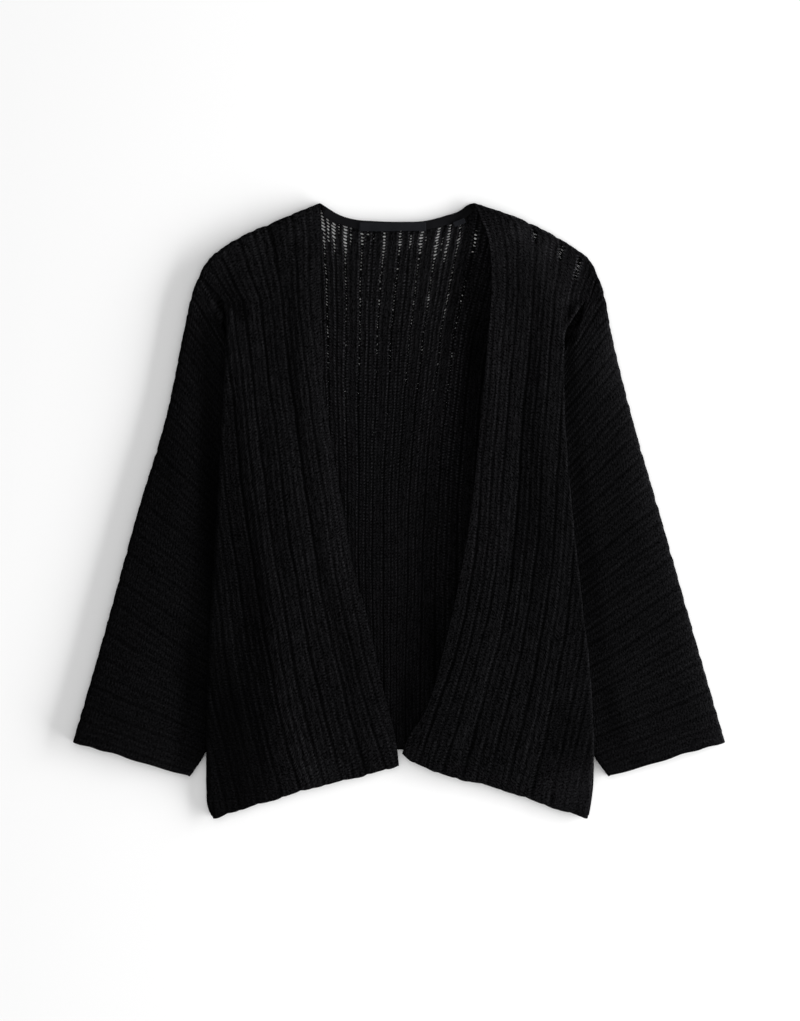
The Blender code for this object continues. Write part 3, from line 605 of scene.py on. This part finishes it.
def front_cloth(side):
    cloth = Cloth(FIRST_RIB[side])
    places, levels, ribs = front_yoke(side)
    way = ways_down(places)
    yoke = cloth.add(side, places, levels, ribs, way, selvedge(ribs))
    cloth.grid(yoke, side)
    sleeve(cloth, side, 1.0, yoke[:, -1], YOKE_RIBS, RIB_STEPS, 0.0, ACROSS_ROWS)

    corner = UNDER_LINE[side].at(0.0)
    low_out, (low_y, side_out) = FRONT_EDGE[side][-1][1], BODY_SIDE[side][-1]

    def pitch_at(y):
        return read(RIB_RUN[side], y, 2)

    def rib_at(out, y):
        return (out - read(RIB_RUN[side], y)) / pitch_at(y)

    downs = np.arange(1, BODY_ROWS + 1) / BODY_ROWS
    side_y = corner[1] + (low_y - corner[1]) * downs
    fold_out, fold_level = side_fold(side, side_y, corner[1] - side_y, pitch_at(side_y))
    upper, upper_fold = yoke[-1, :-SIDE_FOLD_STEPS], yoke[-1, -SIDE_FOLD_STEPS - 1 :]
    for i, down in enumerate(downs):
        top_out, top_y = fold_out[0, i], side_y[i]
        top_edge = read(FRONT_EDGE[side], top_y)
        count = int((top_out - top_edge) / pitch_at(top_y) * RIB_STEPS - 0.5) + 1
        lines = np.arange(count) / RIB_STEPS
        y = np.full_like(lines, top_y)
        for _ in range(PASSES):
            edge = read(FRONT_EDGE[side], y)
            out = edge + lines * pitch_at(y)
            share = np.clip((out - edge) / (top_out - top_edge), 0.0, 1.0)
            low = read(HEM[side], low_out + (side_out - low_out) * share)
            y = corner[1] + (low - corner[1]) * down
        level = body_height(side, out, y, share)
        flank = beyond(share, YOKE_FLANK) * (1.0 - smooth((corner[1] - top_y) / FLANK_EASE))
        level = level + (SLEEVE_CROWN - level) * flank
        level = level + (fold_level[0, i] - level) * beyond(share, FOLD_SHARE)
        arc = ways_down(plan(fold_out[:, i], fold_level[:, i]))
        all_out = np.append(out, fold_out[:, i])
        all_y = np.append(y, np.full(SIDE_FOLD_STEPS + 1, top_y))
        all_level = np.append(level, fold_level[:, i])
        rib = np.append(rib_at(out, y), rib_at(top_out, top_y) + arc / pitch_at(top_y))
        way_here = np.interp(rib, ribs, way[-1]) + corner[1] - all_y
        to_hem = (1.0 - down) * (corner[1] - low_y)
        plain = np.full_like(rib, cast_off(to_hem))
        plain[: len(lines)] = np.maximum(plain[: len(lines)], selvedge(lines))
        all_y = all_y + hem_waves(rib, way_here, to_hem)
        numbers = cloth.add(side, plan(all_out, all_y), all_level, rib, way_here, plain)
        lower, lower_fold = numbers[: len(lines) + 1], numbers[len(lines) :]
        cloth.between(upper, lower, side)
        cloth.grid(np.array([upper_fold, lower_fold]), side)
        upper, upper_fold = lower, lower_fold
    return cloth


def back_side(side, y):
    """How far out the back's side is: it stays inside the underarm and the fronts' fold."""
    out, low = UNDER_LINE[side].points.T
    return np.minimum(np.interp(-y, -low, out) - BACK_SLIT, read(BODY_SIDE[side], y))


def back_rib_x(rib, y, right_edge, left_edge):
    """x of ribs of the back at y, between the two edges there."""
    right, centre, left = (read(BACK_RIB_LINES, y, n) for n in (1, 2, 3))
    places = np.array([-HALF_BACK_RIBS, -BACK_LINE_RIBS, 0.0, BACK_LINE_RIBS, HALF_BACK_RIBS])
    values = np.stack(np.broadcast_arrays(-right_edge, right, centre, left, left_edge))
    slopes = np.diff(values, axis=0) / np.diff(places)[:, None]
    turns = np.concatenate([slopes[:1], (slopes[:-1] + slopes[1:]) / 2, slopes[-1:]])
    cell = np.clip(np.searchsorted(places, rib, side="right") - 1, 0, len(slopes) - 1)
    step = np.diff(places)[cell]
    f, each = (rib - places[cell]) / step, np.arange(len(rib))
    here, on = (cell, each), (cell + 1, each)
    return eased(f, step, values[here], values[on], turns[here], turns[on])


def back_cloth():
    cloth = Cloth()
    half = HALF_BACK_RIBS * BACK_RIB_STEPS
    ribs = np.arange(-half, half + 1) / BACK_RIB_STEPS
    turn = BACK_NECK_RIBS
    ends = (NECKLINE[0][0], NECK_MIDDLE_X, NECKLINE[-1][0])
    x = np.interp(ribs, (turn["right"], 0.0, turn["left"]), ends)
    start, inward = plan(x, read(NECKLINE, x)), plan(np.zeros(len(ribs)), -1.0)
    seam, curl = np.full(len(ribs), NECK_SEAM_HEIGHT), np.zeros(len(ribs))
    for side, arm in OVER_LINE.items():
        past = (ribs * SIGN[side] - abs(turn[side])) / (HALF_BACK_RIBS - abs(turn[side]))
        on_arm = past >= 0.0
        share = SHOULDER_SHARE * past[on_arm]
        place, across, seam[on_arm] = shoulder_seam(arm, share, DOWNWARD)
        start[on_arm], inward[on_arm] = place * (SIGN[side], 1.0), across * (SIGN[side], 1.0)
        curl[on_arm] = 1.0
    slit = np.array([BACK_SLIT / 2, 0.0])
    corner = {side: UNDER_LINE[side].at(BACK_SLIT_START) - slit for side in SIGN}
    share = np.abs(ribs) / HALF_BACK_RIBS
    corner_y = np.where(ribs < 0, corner["right"][1], corner["left"][1])
    end_y = BACK_YOKE_Y + (corner_y - BACK_YOKE_Y) * share
    end_x = back_rib_x(ribs, end_y, corner["right"][0], corner["left"][0])
    places, levels = lines_across(
        start, inward, plan(end_x, end_y), UPWARD, seam, -1.0, 0.0, BACK_ACROSS_ROWS, curl
    )
    levels[ROLL_STEPS:] = WALL / 2
    way = ways_down(places)
    yoke = cloth.add("left", places, levels, ribs, way, 0.0)
    cloth.grid(yoke, "left")

    halves = {"right": ribs < 0, "left": ribs >= 0}
    low_y = {side: BODY_SIDE[side][-1][0] + BACK_HEM_INSET for side in SIGN}
    rows = [yoke[-1]]
    for down in np.arange(1, BACK_ROWS + 1) / BACK_ROWS:
        side_y = {s: corner[s][1] + (low_y[s] - corner[s][1]) * down for s in SIGN}
        side_edge = {s: back_side(s, side_y[s]) for s in SIGN}
        x, y = end_x.copy(), end_y.copy()
        for _ in range(BACK_PASSES):
            x = back_rib_x(ribs, y, side_edge["right"], side_edge["left"])
            for side, chosen in halves.items():
                low_out = np.abs(x[chosen]) / side_edge[side] * back_side(side, low_y[side])
                low = read(HEM[side], low_out) + BACK_HEM_INSET
                low += (BACK_CENTRE_HEM - low) * (1.0 - smooth(low_out / CENTRE_HEM_REACH))
                y[chosen] = end_y[chosen] + (low - end_y[chosen]) * down
        level = np.full_like(x, WALL / 2)
        for side, chosen in halves.items():
            curled = smooth((CUFF_LEVEL - side_y[side]) / (SIDE_DROP / 2) - 1.0)
            radius = SIDE_SEAM_HEIGHT - WALL / 2
            inside = side_edge[side] - np.abs(x[chosen])
            turned = np.clip(1.0 - inside / (SIDE_CURL * radius), 0.0, 1.0)
            level[chosen] += curled * (radius - SEAM_LIFT) * turned**2
        to_hem = (1.0 - down) * BACK_LENGTH
        way_here = way[-1] + end_y - y
        y = y + hem_waves(ribs, way_here, to_hem)
        rows.append(cloth.add("left", plan(x, y), level, ribs, way_here, cast_off(to_hem)))
    cloth.grid(np.stack(rows), "left")
    cut = (BACK_SLEEVE_STEPS, BACK_SLIT_START, BACK_ACROSS_ROWS)
    for side, edge in (("right", yoke[:, 0]), ("left", yoke[:, -1])):
        sleeve(cloth, side, -1.0, edge, SIGN[side] * HALF_BACK_RIBS, *cut)
    return cloth


def operation(name):
    return lambda self, *others: self.builder.node(
        "ShaderNodeMath", {"operation": name}, self, *others
    )


class Socket:
    """A shader output that takes part in Python arithmetic."""

    def __init__(self, builder, output):
        self.builder, self.output = builder, output

    __add__ = __radd__ = operation("ADD")
    __mul__ = __rmul__ = operation("MULTIPLY")
    __sub__ = operation("SUBTRACT")
    __truediv__ = operation("DIVIDE")
    __pow__ = operation("POWER")
    modulo = operation("FLOORED_MODULO")
    size = operation("ABSOLUTE")
    least = operation("MINIMUM")
    most = operation("MAXIMUM")
    sine = operation("SINE")

    def __rsub__(self, other):
        return (self * -1.0) + other

    def step(self, low, high):
        """0 at `low` and 1 at `high`, eased between."""
        return self.builder.node(
            "ShaderNodeMapRange", {"interpolation_type": "SMOOTHSTEP"}, self, low, high, 0.0, 1.0
        )


class Finish:
    """A material and the nodes that make it."""

    def __init__(self, name, roughness, specular):
        self.material = bpy.data.materials.new(name)
        self.material.use_nodes = True
        self.tree = self.material.node_tree
        self.shader = self.tree.nodes["Principled BSDF"]
        self.shader.inputs["Roughness"].default_value = roughness
        self.shader.inputs["Specular IOR Level"].default_value = specular

    def node(self, kind, settings, *values, output=0, **named):
        node = self.tree.nodes.new(kind)
        for setting, value in settings.items():
            setattr(node, setting, value)
        places = [(node.inputs[n], value) for n, value in enumerate(values)]
        places += [(node.inputs[key.replace("_", " ")], value) for key, value in named.items()]
        for place, value in places:
            if isinstance(value, Socket):
                self.tree.links.new(value.output, place)
            elif value is not None:
                place.default_value = value
        return Socket(self, node.outputs[output])

    def pair(self, x, y):
        return self.node("ShaderNodeCombineXYZ", {}, x, y)

    def noise(self, place, scale, detail=2.0, roughness=0.5):
        return self.node(
            "ShaderNodeTexNoise", {}, Vector=place, Scale=scale, Detail=detail, Roughness=roughness
        )

    def colour(self, share, colours):
        settings = {"data_type": "RGBA", "clamp_factor": True}
        ends = [None] * 5 + [(*colour, 1.0) for colour in colours]
        self.feed("Base Color", self.node("ShaderNodeMix", settings, share, *ends, output=2))

    def feed(self, name, socket):
        self.tree.links.new(socket.output, self.shader.inputs[name])

    def bump(self, height, distance, strength):
        ways = {"Strength": strength, "Distance": distance * MM, "Height": height}
        self.feed("Normal", self.node("ShaderNodeBump", {}, **ways))


# Colours at the two ends of each mix: on the knit, painted shade as in the furrows and painted
# light on the threads; on the ribbons, their threads' darker and lighter colours
KNIT_COLOURS = (0.0004, 0.0004, 0.00042), (0.0212, 0.021, 0.0229)
TAPE_COLOURS = (0.0016, 0.0016, 0.0018), (0.0085, 0.0085, 0.0098)
LABEL_COLOURS = (0.0045, 0.0048, 0.0058), (0.013, 0.0137, 0.0165)

RUNG_PITCH = 3.4  # from rung to rung of the open ladders
RUNG_STRAY = 3.0  # how many rungs the rows of rungs stray from even
LADDER_STRAY = 0.6  # how far a ladder strays from its place, in ribs
HOLE_LUCK = 3.2  # how uneven the holes are in size
HOLE_WIDE, HOLE_HIGH = 0.35, 0.32  # half sizes of a full hole, in ribs and in rungs
HOLE_TALLEST = 1.1  # openness past which a hole grows no taller
WELL_OPEN = 1.7  # openness past which the columns run wider and taller still
HOLE_EDGE = (0.15, 0.35)  # openness between which a hole comes to be
HOLES = (
    # place in the repeat, how far the knit stretches before the column opens, its widest
    (0, 0, 1.15), (2, 0.2, 1.1), (4, 0, 1.15), (7, 0, 1.15), (0.95, 0.7, 0.7), (3, 0.8, 0.6),
    (4.95, 0.8, 0.6), (6.25, 0.7, 0.7),
)
LADDER_SLACK = 0.5  # a column that opens before this is a ladder, with loops beside it
LOOP_ASIDE = 0.42  # from the middle of a ladder to its loops, in ribs
LOOP_WIDE, LOOP_HIGH = 0.22, 0.3  # half sizes of a loop, in ribs and in rungs
LOOP_PALE = (0.6, 5.0)  # how much lighter the loops are, when slack and for being stretched
GRAIN = (
    # how often it changes across a rib and along 1 mm, its detail and its roughness
    (3.8, 0.45, 3.0, 0.75),  # fuzz of the yarn
    (2.7, 0.07, 2.0, 0.6),  # strands along the ribs
    (1.1, 0.3, 1.0, 0.5),  # looser and tighter stitches
    (0.07, 0.03, 1.0, 0.5),  # slow drift of the rows
)
MIDDLE_TONE = 0.31  # the yarn's, between the furrows' colour at 0 and the threads' at 2
WOVEN_ROUGHNESS = 0.85


def knit_finish(name):
    """Black yarn in ridges, with fine stitches, holes between the rungs of open ladders, and
    painted light and shade in its colour.
    """
    yarn = Finish(name, 0.95, 0.0)
    rib, way, painted_light, opened, crisp = (
        yarn.node("ShaderNodeAttribute", {"attribute_name": label}, output="Fac")
        for label in YARN_MARKS
    )
    fuzz, strand, loose, slow = (
        yarn.noise(yarn.pair(rib * across, way * along), 1.0, detail, rough) - 0.5
        for across, along, detail, rough in GRAIN
    )
    rung = way / RUNG_PITCH + slow * RUNG_STRAY
    place = (rib + strand * LADDER_STRAY).modulo(REPEAT)

    # A ladder opens in round holes where the knit is stretched, and is closed where it is slack;
    # small loops of yarn stand on both sides of it
    size_here = loose * HOLE_LUCK + 1.0
    from_rung = (rung.modulo(1.0) - 0.5).size()
    torn = (opened - WELL_OPEN).most(0.0) * 2.0
    hole = edge = None
    for middle, slack, widest in HOLES:
        aside = place - middle
        gape = ((opened - slack) * size_here).most(0.01)
        tall = gape.least(torn + HOLE_TALLEST) * 0.4 + 0.6
        wide = (aside / (gape.least(torn + widest) * HOLE_WIDE)) ** 2.0
        high = (from_rung / (tall * HOLE_HIGH)) ** 2.0
        here = (1.3 - wide - high).step(0.0, 0.6) * gape.step(*HOLE_EDGE)
        hole = here if hole is None else hole.most(here)
        if slack < LADDER_SLACK:
            beside = (aside.size() - LOOP_ASIDE).size()
            edge = beside if edge is None else edge.least(beside)
    loop = ((rung + rib.modulo(1.0) * 0.6).modulo(1.0) - 0.5).size()
    loops = (1.0 - (edge / LOOP_WIDE) ** 2.0 - (loop / LOOP_HIGH) ** 2.0).most(0.0)
    loops = loops * (loose * 2.4 + 0.5).most(0.0)

    # Slanting stitches on both flanks of every ridge
    flank = (rib.modulo(1.0) - 0.5).size()
    stitch = ((rung * (2 * math.pi) + flank * 5.0 + loose * 12.0).sine() + 1.0) * 0.5
    pale = opened.most(0.0) * LOOP_PALE[1] + LOOP_PALE[0]
    rough = stitch * 0.16 - 0.08 + strand * 0.85 + loops * pale
    light = rough * crisp + fuzz * (crisp + 1.5) + MIDDLE_TONE
    # The yarn's colour is scaled by the painted light and shade told at every point
    yarn.colour(light.most(0.0) * painted_light * 0.5, KNIT_COLOURS)
    yarn.bump(stitch * 0.5 + fuzz + 0.5, 0.45, 0.7)
    yarn.feed("Alpha", 1.0 - hole)
    yarn.feed("Roughness", 0.93 + fuzz * 0.1)
    return yarn.material


def woven_finish(name, colours, thread, specular, painted_shade_span=None):
    """Closely woven ribbon with fine warp and weft threads, dull and a little uneven, with painted
    shade over a span of x where one is given.
    """
    ribbon = Finish(name, WOVEN_ROUGHNESS, specular)
    place = ribbon.node("ShaderNodeTexCoord", {}, output="Object")
    x, y = (ribbon.node("ShaderNodeSeparateXYZ", {}, place, output=axis) for axis in "XY")
    turn = 2 * math.pi / (thread * MM)
    warp, weft = (((axis * turn).sine() + 1.0) * 0.5 for axis in (x, y))
    uneven = ribbon.noise(place, 160.0, 3.0, 0.6)
    broad = ribbon.noise(place, 42.0, 1.0)
    threads = (warp * 0.35 + weft * 0.35 + uneven * 0.5) * (broad * 1.2 + 0.3)
    if painted_shade_span:
        # Painted shade: it is darkened where it goes in under the fold of the knit, where less
        # light reaches it
        threads = threads * (1.0 - x.step(painted_shade_span[0] * MM, painted_shade_span[1] * MM) * 0.9)
    ribbon.colour(threads, colours)
    ribbon.bump(warp * weft + uneven * 0.4, 0.12, 0.7)
    ribbon.feed("Roughness", WOVEN_ROUGHNESS - 0.08 + uneven * 0.16)
    return ribbon.material


STRETCHED = {
    # x, y, reach across, reach along, how far open: where the knit gapes
    "back": (
        (-76, 312, 13, 22, 1.3), (-54, 304, 9, 20, 1.1), (-36, 304, 6, 9, 1.1),
        (-14, 294, 6, 16, 0.6), (4, 298, 5, 10, 0.7), (15, 294, 4, 8, 0.7), (27, 298, 6, 16, 0.95),
        (44, 296, 7, 20, 0.9), (33, 236, 5, 8, 0.4), (50, 222, 6, 16, 0.3), (55, 298, 5, 22, 0.75),
        (68, 298, 5, 14, 0.5), (84, 296, 9, 20, 0.5), (198, 268, 10, 15, 2.6),
        (222, 252, 8, 10, 2.5), (173, 286, 14, 16, 2.3), (145, 304, 9, 16, 2.5),
    ),
    "right": (),
    "left": (
        (199, 276, 3.4, 6, 2), (196.6, 267.5, 3.4, 6, 2), (194, 259, 3.4, 5, 1.9),
        (221, 253, 6, 7, 1.9), (177, 285, 5, 9, 1.7), (168, 284, 3, 9, 1.3), (148, 306, 5, 9, 1.9),
        (94, 304, 5, 12, 0.8),
    ),
}

PAINTED_LIGHT_SPOTS = {
    # x, y, reach across, reach along, lean to +X going up (where there is one), how much lighter
    # or darker: painted light and painted shade, where the cloth turns to the light or away from
    # it and where one part shades another
    "back": (
        (48, 121, 24, 120, 0.45), (46, 290, 26, 34, 0.3), (-8, 262, 34, 70, 0.2),
        (-70, 306, 26, 26, 0.2), (12, -55, 14, 110, 0.1, 0.3), (58, -10, 9, 75, -0.32),
        (-62, 180, 12, 100, 0.15), (36, -150, 12, 40, -0.6), (12, -215, 12, 30, -0.55),
        (-37, -255, 12, 20, -0.4), (84, 185, 11, 42, -0.65), (74, 110, 12, 90, 0.08, -0.5),
    ),
    "right": (
        (-165, 290, 60, 44, 0.25), (-80, 320, 14, 22, 0.4), (-158, 200, 10, 85, 0.2),
        (-112, 215, 14, 80, -0.15), (-66, 90, 14, 110, -0.1, 0.15),
        (-133, 187, 9, 100, -0.05, -0.25), (-157, -100, 15, 110, -0.08, -0.8),
        (-182, -245, 32, 88, -0.08, -1.3), (-207, -6, 10, 110, -1.25), (-230, 120, 10, 80, 0.32),
        (-254, 50, 10, 40, -0.25), (-231, -180, 12, 34, -0.5), (-108, -170, 12, 100, 0.22),
        (-92, -290, 26, 28, 0.4), (-48, -175, 32, 80, -0.2, -0.4),
    ),
    "left": (
        (150, 302, 60, 32, 0.6), (172, 225, 22, 45, 0.28), (108, 200, 14, 120, 0.6),
        (204, 130, 10, 60, -0.25), (86, 5, 9, 70, 0.15, 0.35), (157, 15, 20, 110, -0.5),
        (192, -95, 22, 85, -0.32), (232, -30, 28, 110, -0.2), (268, 50, 20, 70, 0.22),
        (228, -245, 11, 45, -0.35), (228, 165, 22, 50, 0.35), (190, -305, 42, 26, 0.55),
        (109, -262, 18, 24, -0.25),
    ),
}
FLATTENED = {
    # x, y, reach across, reach along, how far the ridges are smoothed away
    "back": (0, -330, 200, 40, 0.2),
    "right": (-200, 250, 60, 60, 0.2),
    "left": (160, 290, 70, 70, 0.45),
}
SLEEVE_START = {"back": HALF_BACK_RIBS, "right": YOKE_RIBS, "left": YOKE_RIBS}
SLEEVE_SOFT = 0.5  # how much softer the stitches look on the sleeves
SLEEVE_EASE = 8.0  # ribs over which a sleeve's look begins
# Painted light and shade along the outer edge of a sleeve: how much lighter or darker, and how far
# in; a painted highlight on the left sleeve, painted shade on the right
OUTER_PAINTED_LIGHT = {"back": (0.0, 1.0), "right": (-0.38, 48.0), "left": (0.5, 18.0)}
RIDGE_PAINTED_LIGHT = 0.6  # painted light on a ridge and painted shade in a furrow: how much lighter a ridge is, and darker a furrow
SEAM_CLOSED = 4.0  # from the shoulder seam, where no ladder opens
# The back gapes a little all over the middle of its upper part: how much, from which y and over
# how far it comes on, x of its middle, half its width and over how far that fades
BACK_OPEN = (0.3, -130, 400, -7, 88, 14)


def spot(x, y, middle, up, across, along, lean=0.0):
    """1 in the middle of a spot, falling off over its reach across and along."""
    aside = (x - middle - lean * (y - up)) / across
    return np.exp(-(aside**2) - ((y - up) / along) ** 2)


def spots(rows, x, y):
    """All the spots of a table at once, each times its last number."""
    total = np.zeros(len(x))
    for *place, much in rows:
        total += much * spot(x, y, *place)
    return total


def openness(panel, x, y):
    """How far the knit is stretched open: 0 where it is closed, 1 in a good row of holes."""
    opened = spots(STRETCHED[panel], x, y)
    if panel == "back":
        much, start, rise, middle, half, ease = BACK_OPEN
        opened += much * smooth((y - start) / rise) * smooth((half - np.abs(x - middle)) / ease)
    return opened


def tones(panel, points, marks):
    """Painted light and shade on the yarn at every point, how far its ladders gape, how crisp its
    stitches.
    """
    (x, y, _), (rib, way, edge) = points.T, marks.T
    crisp = 1.0 - SLEEVE_SOFT * smooth((np.abs(rib) - SLEEVE_START[panel]) / SLEEVE_EASE)
    crisp *= 1.0 - spots([FLATTENED[panel]], x, y)
    # Painted light on the ridges and painted shade in the furrows, then painted light and shade in
    # spots and along the sleeves' outer edges
    painted_light = 1.0 + RIDGE_PAINTED_LIGHT * crisp * np.clip(relief(rib, way, edge), -1.0, 1.0)
    much, reach = OUTER_PAINTED_LIGHT[panel]
    outer = much * smooth((rib - YOKE_RIBS - 2.0) / SLEEVE_EASE) * np.exp(-((way / reach) ** 2))
    opened = np.where(way < SEAM_CLOSED, 0.0, openness(panel, x, y))
    return painted_light * np.exp(spots(PAINTED_LIGHT_SPOTS[panel], x, y) + outer), opened, crisp


# The three knitted panels
back = knit_shell("back_knit", back_cloth(), "back")
right_front = knit_shell("right_front_knit", front_cloth("right"), "right")
left_front = knit_shell("left_front_knit", front_cloth("left"), "left")

# Neck tape, label and tab
TAPE_WIDTH = 9.0
TAPE_INSET = 0.8  # from the edge of the neck
TAPE_ENDS = (-79.5, 77.0)
TAPE_THICK = 0.7
TAPE_PAINTED_SHADE = (54.0, 72.0)  # x between which painted shade darkens the tape, where it goes in under the fold of the left front
LABEL_SIZE = (73.0, 9.6)
LABEL_CENTRE = (-6.9, 311.8)
LABEL_THICK = 0.45
TAB_SIZE = (13.0, 5.6)
TAB_CENTRE = (66.3, 316.4)
TAB_TURN = 22.0  # degrees
TAPE_FLOOR = 2.9  # height of the underside of the tape
LABEL_FLOOR = 4.0  # and of the label and the tab


def along_neck(u, v):
    """Along the back neckline: `u` is x, and `v` the way below the edge."""
    slope = read(NECKLINE, u + 0.5) - read(NECKLINE, u - 0.5)
    size = np.hypot(slope, 1.0)
    return u + slope / size * v, read(NECKLINE, u) - v / size


def tape_shape(u, v):
    down = TAPE_INSET + TAPE_WIDTH / 2 - v
    x, y = along_neck(u + sum(TAPE_ENDS) / 2, down)
    crown = 0.12 * (1.0 - (v / (TAPE_WIDTH / 2)) ** 2)
    return x, y, TAPE_FLOOR + crown + 0.05 * np.sin(u * 0.21)


def label_shape(u, v):
    ends = (u / (LABEL_SIZE[0] / 2)) ** 8
    hanging = np.clip(0.5 - v / LABEL_SIZE[1], 0.0, 1.0)
    return (
        u + LABEL_CENTRE[0],
        v + LABEL_CENTRE[1] + 0.3 * np.sin(u * 0.06),
        LABEL_FLOOR + 0.5 * hanging**2 * (1.0 - ends) + 0.08 * np.sin(u * 0.33) * hanging,
    )


def tab_shape(u, v):
    cos, sin = math.cos(math.radians(TAB_TURN)), math.sin(math.radians(TAB_TURN))
    return (
        TAB_CENTRE[0] + u * cos - v * sin,
        TAB_CENTRE[1] + u * sin + v * cos,
        LABEL_FLOOR + 0.25 * (u / (TAB_SIZE[0] / 2)) ** 2,
    )


def nothing_selected():
    bpy.ops.object.select_all(action="DESELECT")


def woven_piece(name, size, cells, finish, shape, thick, edge):
    """Cut a flat piece about the origin, lay it as `shape` says, and give it its thickness and
    soft edges."""
    nothing_selected()
    bpy.ops.mesh.primitive_grid_add(x_subdivisions=cells[0], y_subdivisions=cells[1], size=1.0)
    piece = bpy.context.object
    piece.name = name
    piece.scale = (size[0] * MM, size[1] * MM, 1.0)
    bpy.ops.object.transform_apply(location=False, rotation=False, scale=True)
    piece.data.materials.append(finish)
    points = np.empty(len(piece.data.vertices) * 3)
    piece.data.vertices.foreach_get("co", points)
    u, v, _ = points.reshape(-1, 3).T / MM
    x, y, z = shape(u, v)
    laid = np.stack([x, y - MIDDLE_Y, z], axis=-1) * MM
    piece.data.vertices.foreach_set("co", laid.ravel())
    piece.data.update()
    wall = piece.modifiers.new("wall", "SOLIDIFY")
    wall.thickness = thick * MM
    wall.offset = 1.0
    bpy.ops.object.modifier_apply(modifier="wall")
    soft = piece.modifiers.new("soft_edge", "BEVEL")
    soft.width = edge * MM
    soft.segments = 2
    soft.limit_method = "ANGLE"
    bpy.ops.object.modifier_apply(modifier="soft_edge")
    bpy.ops.object.shade_smooth_by_angle(angle=math.radians(40.0))
    return piece


tape_finish = woven_finish("black_neck_tape", TAPE_COLOURS, 0.7, 0.02, TAPE_PAINTED_SHADE)
label_finish = woven_finish("dark_woven_label", LABEL_COLOURS, 0.45, 0.03)
tab_finish = woven_finish("dark_woven_tab", LABEL_COLOURS, 0.5, 0.03)
TAPE_SIZE = (TAPE_ENDS[1] - TAPE_ENDS[0], TAPE_WIDTH)
trims = [
    woven_piece("neck_tape_woven", TAPE_SIZE, (90, 6), tape_finish, tape_shape, TAPE_THICK, 0.2),
    woven_piece(
        "neck_label_woven", LABEL_SIZE, (48, 8), label_finish, label_shape, LABEL_THICK, 0.12
    ),
    woven_piece("side_tab_woven", TAB_SIZE, (12, 8), tab_finish, tab_shape, LABEL_THICK, 0.12),
]
neck_tape, neck_label, side_tab = trims

# Each piece goes under the root body, and its part from model.glb is hidden
for piece, node, slot in (
    (back, "back", "rib_knit"),
    (right_front, "right_front", "rib_knit"),
    (left_front, "left_front", "rib_knit"),
    (neck_tape, "neck_tape", "neck_tape"),
    (neck_label, "neck_label", "woven_label"),
    (side_tab, "side_tab", "woven_label"),
):
    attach(piece, "root")
    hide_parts(node)

# Floor, light and camera
nothing_selected()
bpy.ops.mesh.primitive_plane_add(size=12.0, location=(0.0, 0.0, 0.0))
floor = bpy.context.object
floor.name = "floor"
paper = Finish("white_floor", 0.9, 0.1)
paper.shader.inputs["Base Color"].default_value = (0.9, 0.9, 0.9, 1.0)
floor.data.materials.append(paper.material)

KEY_TURN, KEY_HEIGHT, KEY_FAR = -6.0, 10.0, 4.0  # degrees from +X, degrees up, metres
KEY_SIZE, KEY_POWER, WORLD_POWER = (6.0, 0.8), 595.0, 0.69
turn, height = math.radians(KEY_TURN), math.radians(KEY_HEIGHT)
scene = bpy.context.scene
key = bpy.data.lights.new("window", "AREA")
key.shape = "RECTANGLE"
key.size, key.size_y = KEY_SIZE
key.energy = KEY_POWER
lamp = bpy.data.objects.new("window", key)
scene.collection.objects.link(lamp)
flat = KEY_FAR * math.cos(height)
lamp.location = (flat * math.cos(turn), flat * math.sin(turn), KEY_FAR * math.sin(height))
lamp.rotation_mode = "QUATERNION"
lamp.rotation_quaternion = (-lamp.location).to_track_quat("-Z", "Y")

world = bpy.data.worlds.new("studio")
world.use_nodes = True
sky = world.node_tree.nodes["Background"].inputs
sky["Color"].default_value = (1.0, 1.0, 1.0, 1.0)
sky["Strength"].default_value = WORLD_POWER
scene.world = world
scene.view_settings.view_transform = "Standard"

CAMERA_LENS = 85.0
FRAME_HEIGHT = 1.1231  # how much of the floor is taken in, from top to bottom
lens = bpy.data.cameras.new("camera")
lens.lens = CAMERA_LENS
camera = bpy.data.objects.new("camera", lens)
scene.collection.objects.link(camera)
camera.location = (0.0011, 0.0, FRAME_HEIGHT / lens.sensor_width * CAMERA_LENS)
scene.camera = camera
